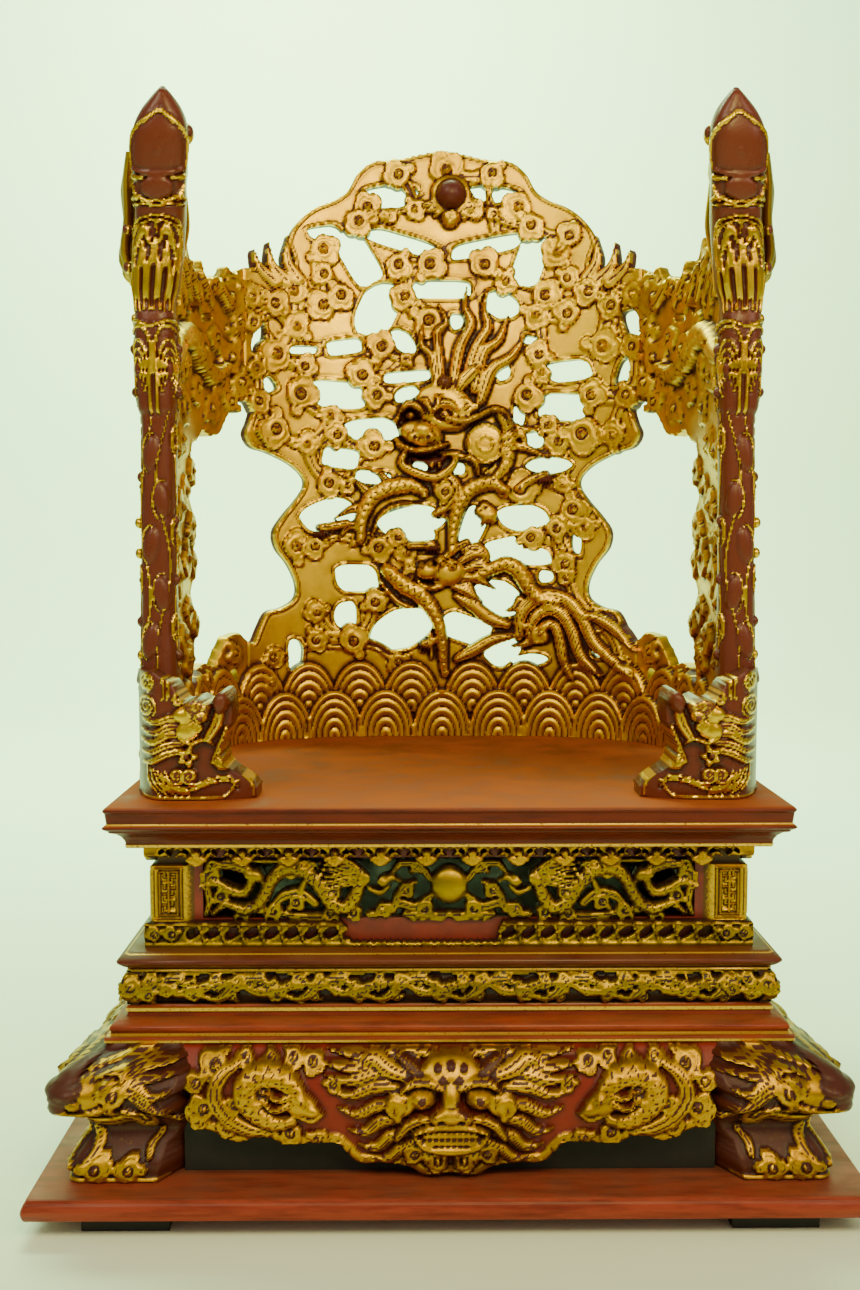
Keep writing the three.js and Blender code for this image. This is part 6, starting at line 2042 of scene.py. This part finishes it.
class THRONE_OT_boards(bpy.types.Operator):
    """Makes the moulded boards, and paints the plain wood that stays."""

    bl_idname = "throne.boards"
    bl_label = "Boards"

    def execute(self, context):
        for piece, profile, gilt, bevel, coat, slot, node in (
            ("plinth", plinth_profile(), (), 2.5, "worn_red_lacquer", "red_lacquer", "plinth_board"),
            ("lower_roll", lower_profile(), ((174.5, 1.2), (180.5, 0.9), (201, 2.2)), 1.2,
             "orange_red_lacquer", "red_lacquer", "lower_moulding"),
            ("middle_roll", middle_profile(), ((242, 1.0), (259.4, 0.5)), 5.0,
             "dark_maroon_lacquer", "red_lacquer", "middle_moulding"),
            ("seat_top", seat_profile(), ((371.2, 1.6), (396.2, 0.9)), 2.0,
             "orange_brown_lacquer", "seat_lacquer", "seat_board"),
        ):
            make_piece(piece, board_mesh(profile, gilt, bevel), finish(coat), [node])
        for name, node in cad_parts.items():
            framed = name.startswith("waist_frame")
            if not node.hide_render and (framed or name.startswith(("riser", "plinth_foot"))):
                node.data.materials.clear()
                node.data.materials.append(finish("dull_red_paint" if framed else "black_brown_paint"))
        return {"FINISHED"}


# The camera in front, a little below the middle: metres, degrees and millimetres.
CAMERA_PLACE = (-0.0305, -1.561, 0.6781)
CAMERA_TILT = (90 - 4.461, 0.045, -0.459)
LENS, SENSOR = 36.28, 36.0


class THRONE_OT_stage(bpy.types.Operator):
    """Sets the floor, the lights and the camera."""

    bl_idname = "throne.stage"
    bl_label = "Stage"

    def execute(self, context):
        # A pale sweep: the floor, a bend behind the throne and a wall.
        wide, front, back, bend, high = 40.0, -12.0, 3.4, 1.0, 9.0
        turn = np.linspace(0, math.pi / 2, 13)
        arc = [(back + bend * math.sin(a), bend - bend * math.cos(a)) for a in turn]
        line = [(front, 0.0)] + arc + [(back + bend, high)]
        wall_paint = painted_wood("pale_green_wall", srgb("#ecfae0"), 0.8, 900.0, srgb("#eef0d0"), 0.6)
        points = [(side * wide, y, z) for y, z in line for side in (-1, 1)]
        data = bpy.data.meshes.new("sweep")
        data.from_pydata(points, [], [(k, k + 1, k + 3, k + 2) for k in range(0, 2 * len(line) - 2, 2)])
        data.polygons.foreach_set("use_smooth", [True] * len(data.polygons))
        sweep = bpy.data.objects.new("sweep", data)
        context.scene.collection.objects.link(sweep)
        data.materials.append(wall_paint)
        world = bpy.data.worlds.new("studio")
        context.scene.world = world
        world.use_nodes = True
        background = world.node_tree.nodes["Background"]
        background.inputs["Color"].default_value = srgb("#f2f6e6")
        background.inputs["Strength"].default_value = 0.38
        for name, place, target, width, power, colour in (
            ("key_light", (-1.6, -2.2, 2.6), (0, 0, 0.7), 1.2, 42, "#fdffd8"),
            ("fill_light", (1.9, -1.9, 1.9), (0, 0, 0.6), 1.2, 26, "#ffeecb"),
            ("screen_light", (0.25, -1.5, 1.5), (0.03, 0.2, 0.7), 0.45, 16, "#fff09a"),
            ("wall_light", (-0.6, 1.6, 3.6), (0, 4.2, 1.2), 2.4, 640, "#d2ffc0"),
        ):
            light = bpy.data.lights.new(name, "AREA")
            light.energy = power
            light.size = width
            light.color = srgb(colour)[:3]
            lamp = bpy.data.objects.new(name, light)
            lamp.location = place
            way = Vector(target) - Vector(place)
            lamp.rotation_mode = "QUATERNION"
            lamp.rotation_quaternion = way.to_track_quat("-Z", "Y")
            context.scene.collection.objects.link(lamp)
        lens = bpy.data.cameras.new("camera")
        lens.sensor_width = SENSOR
        lens.lens = LENS
        camera = bpy.data.objects.new("camera", lens)
        camera.location = CAMERA_PLACE
        camera.rotation_euler = [math.radians(angle) for angle in CAMERA_TILT]
        context.scene.collection.objects.link(camera)
        context.scene.camera = camera
        return {"FINISHED"}


STEPS = (
    THRONE_OT_boards, THRONE_OT_legs, THRONE_OT_aprons, THRONE_OT_band, THRONE_OT_waist,
    THRONE_OT_screen, THRONE_OT_arms, THRONE_OT_posts, THRONE_OT_stage,
)


class THRONE_PT_panel(bpy.types.Panel):
    """Lists the throne's pieces and settings in the sidebar."""

    bl_idname = "THRONE_PT_panel"
    bl_label = "Altar throne"
    bl_space_type = "VIEW_3D"
    bl_region_type = "UI"
    bl_category = "Throne"

    def draw(self, context):
        for name in ThroneSettings.__annotations__:
            self.layout.prop(context.scene.throne, name)
        for step in STEPS:
            self.layout.operator(step.bl_idname)


def register():
    """Registers the classes and the scene's settings."""
    for cls in (ThroneSettings, *STEPS, THRONE_PT_panel):
        bpy.utils.register_class(cls)
    bpy.types.Scene.throne = bpy.props.PointerProperty(type=ThroneSettings)


def unregister():
    """Takes the classes and the settings away again."""
    del bpy.types.Scene.throne
    for cls in reversed((ThroneSettings, *STEPS, THRONE_PT_panel)):
        bpy.utils.unregister_class(cls)


def main():
    """Makes every piece in order."""
    register()
    for step in STEPS:
        group, name = step.bl_idname.split(".")
        getattr(getattr(bpy.ops, group), name)()


if __name__ == "__main__":
    main()
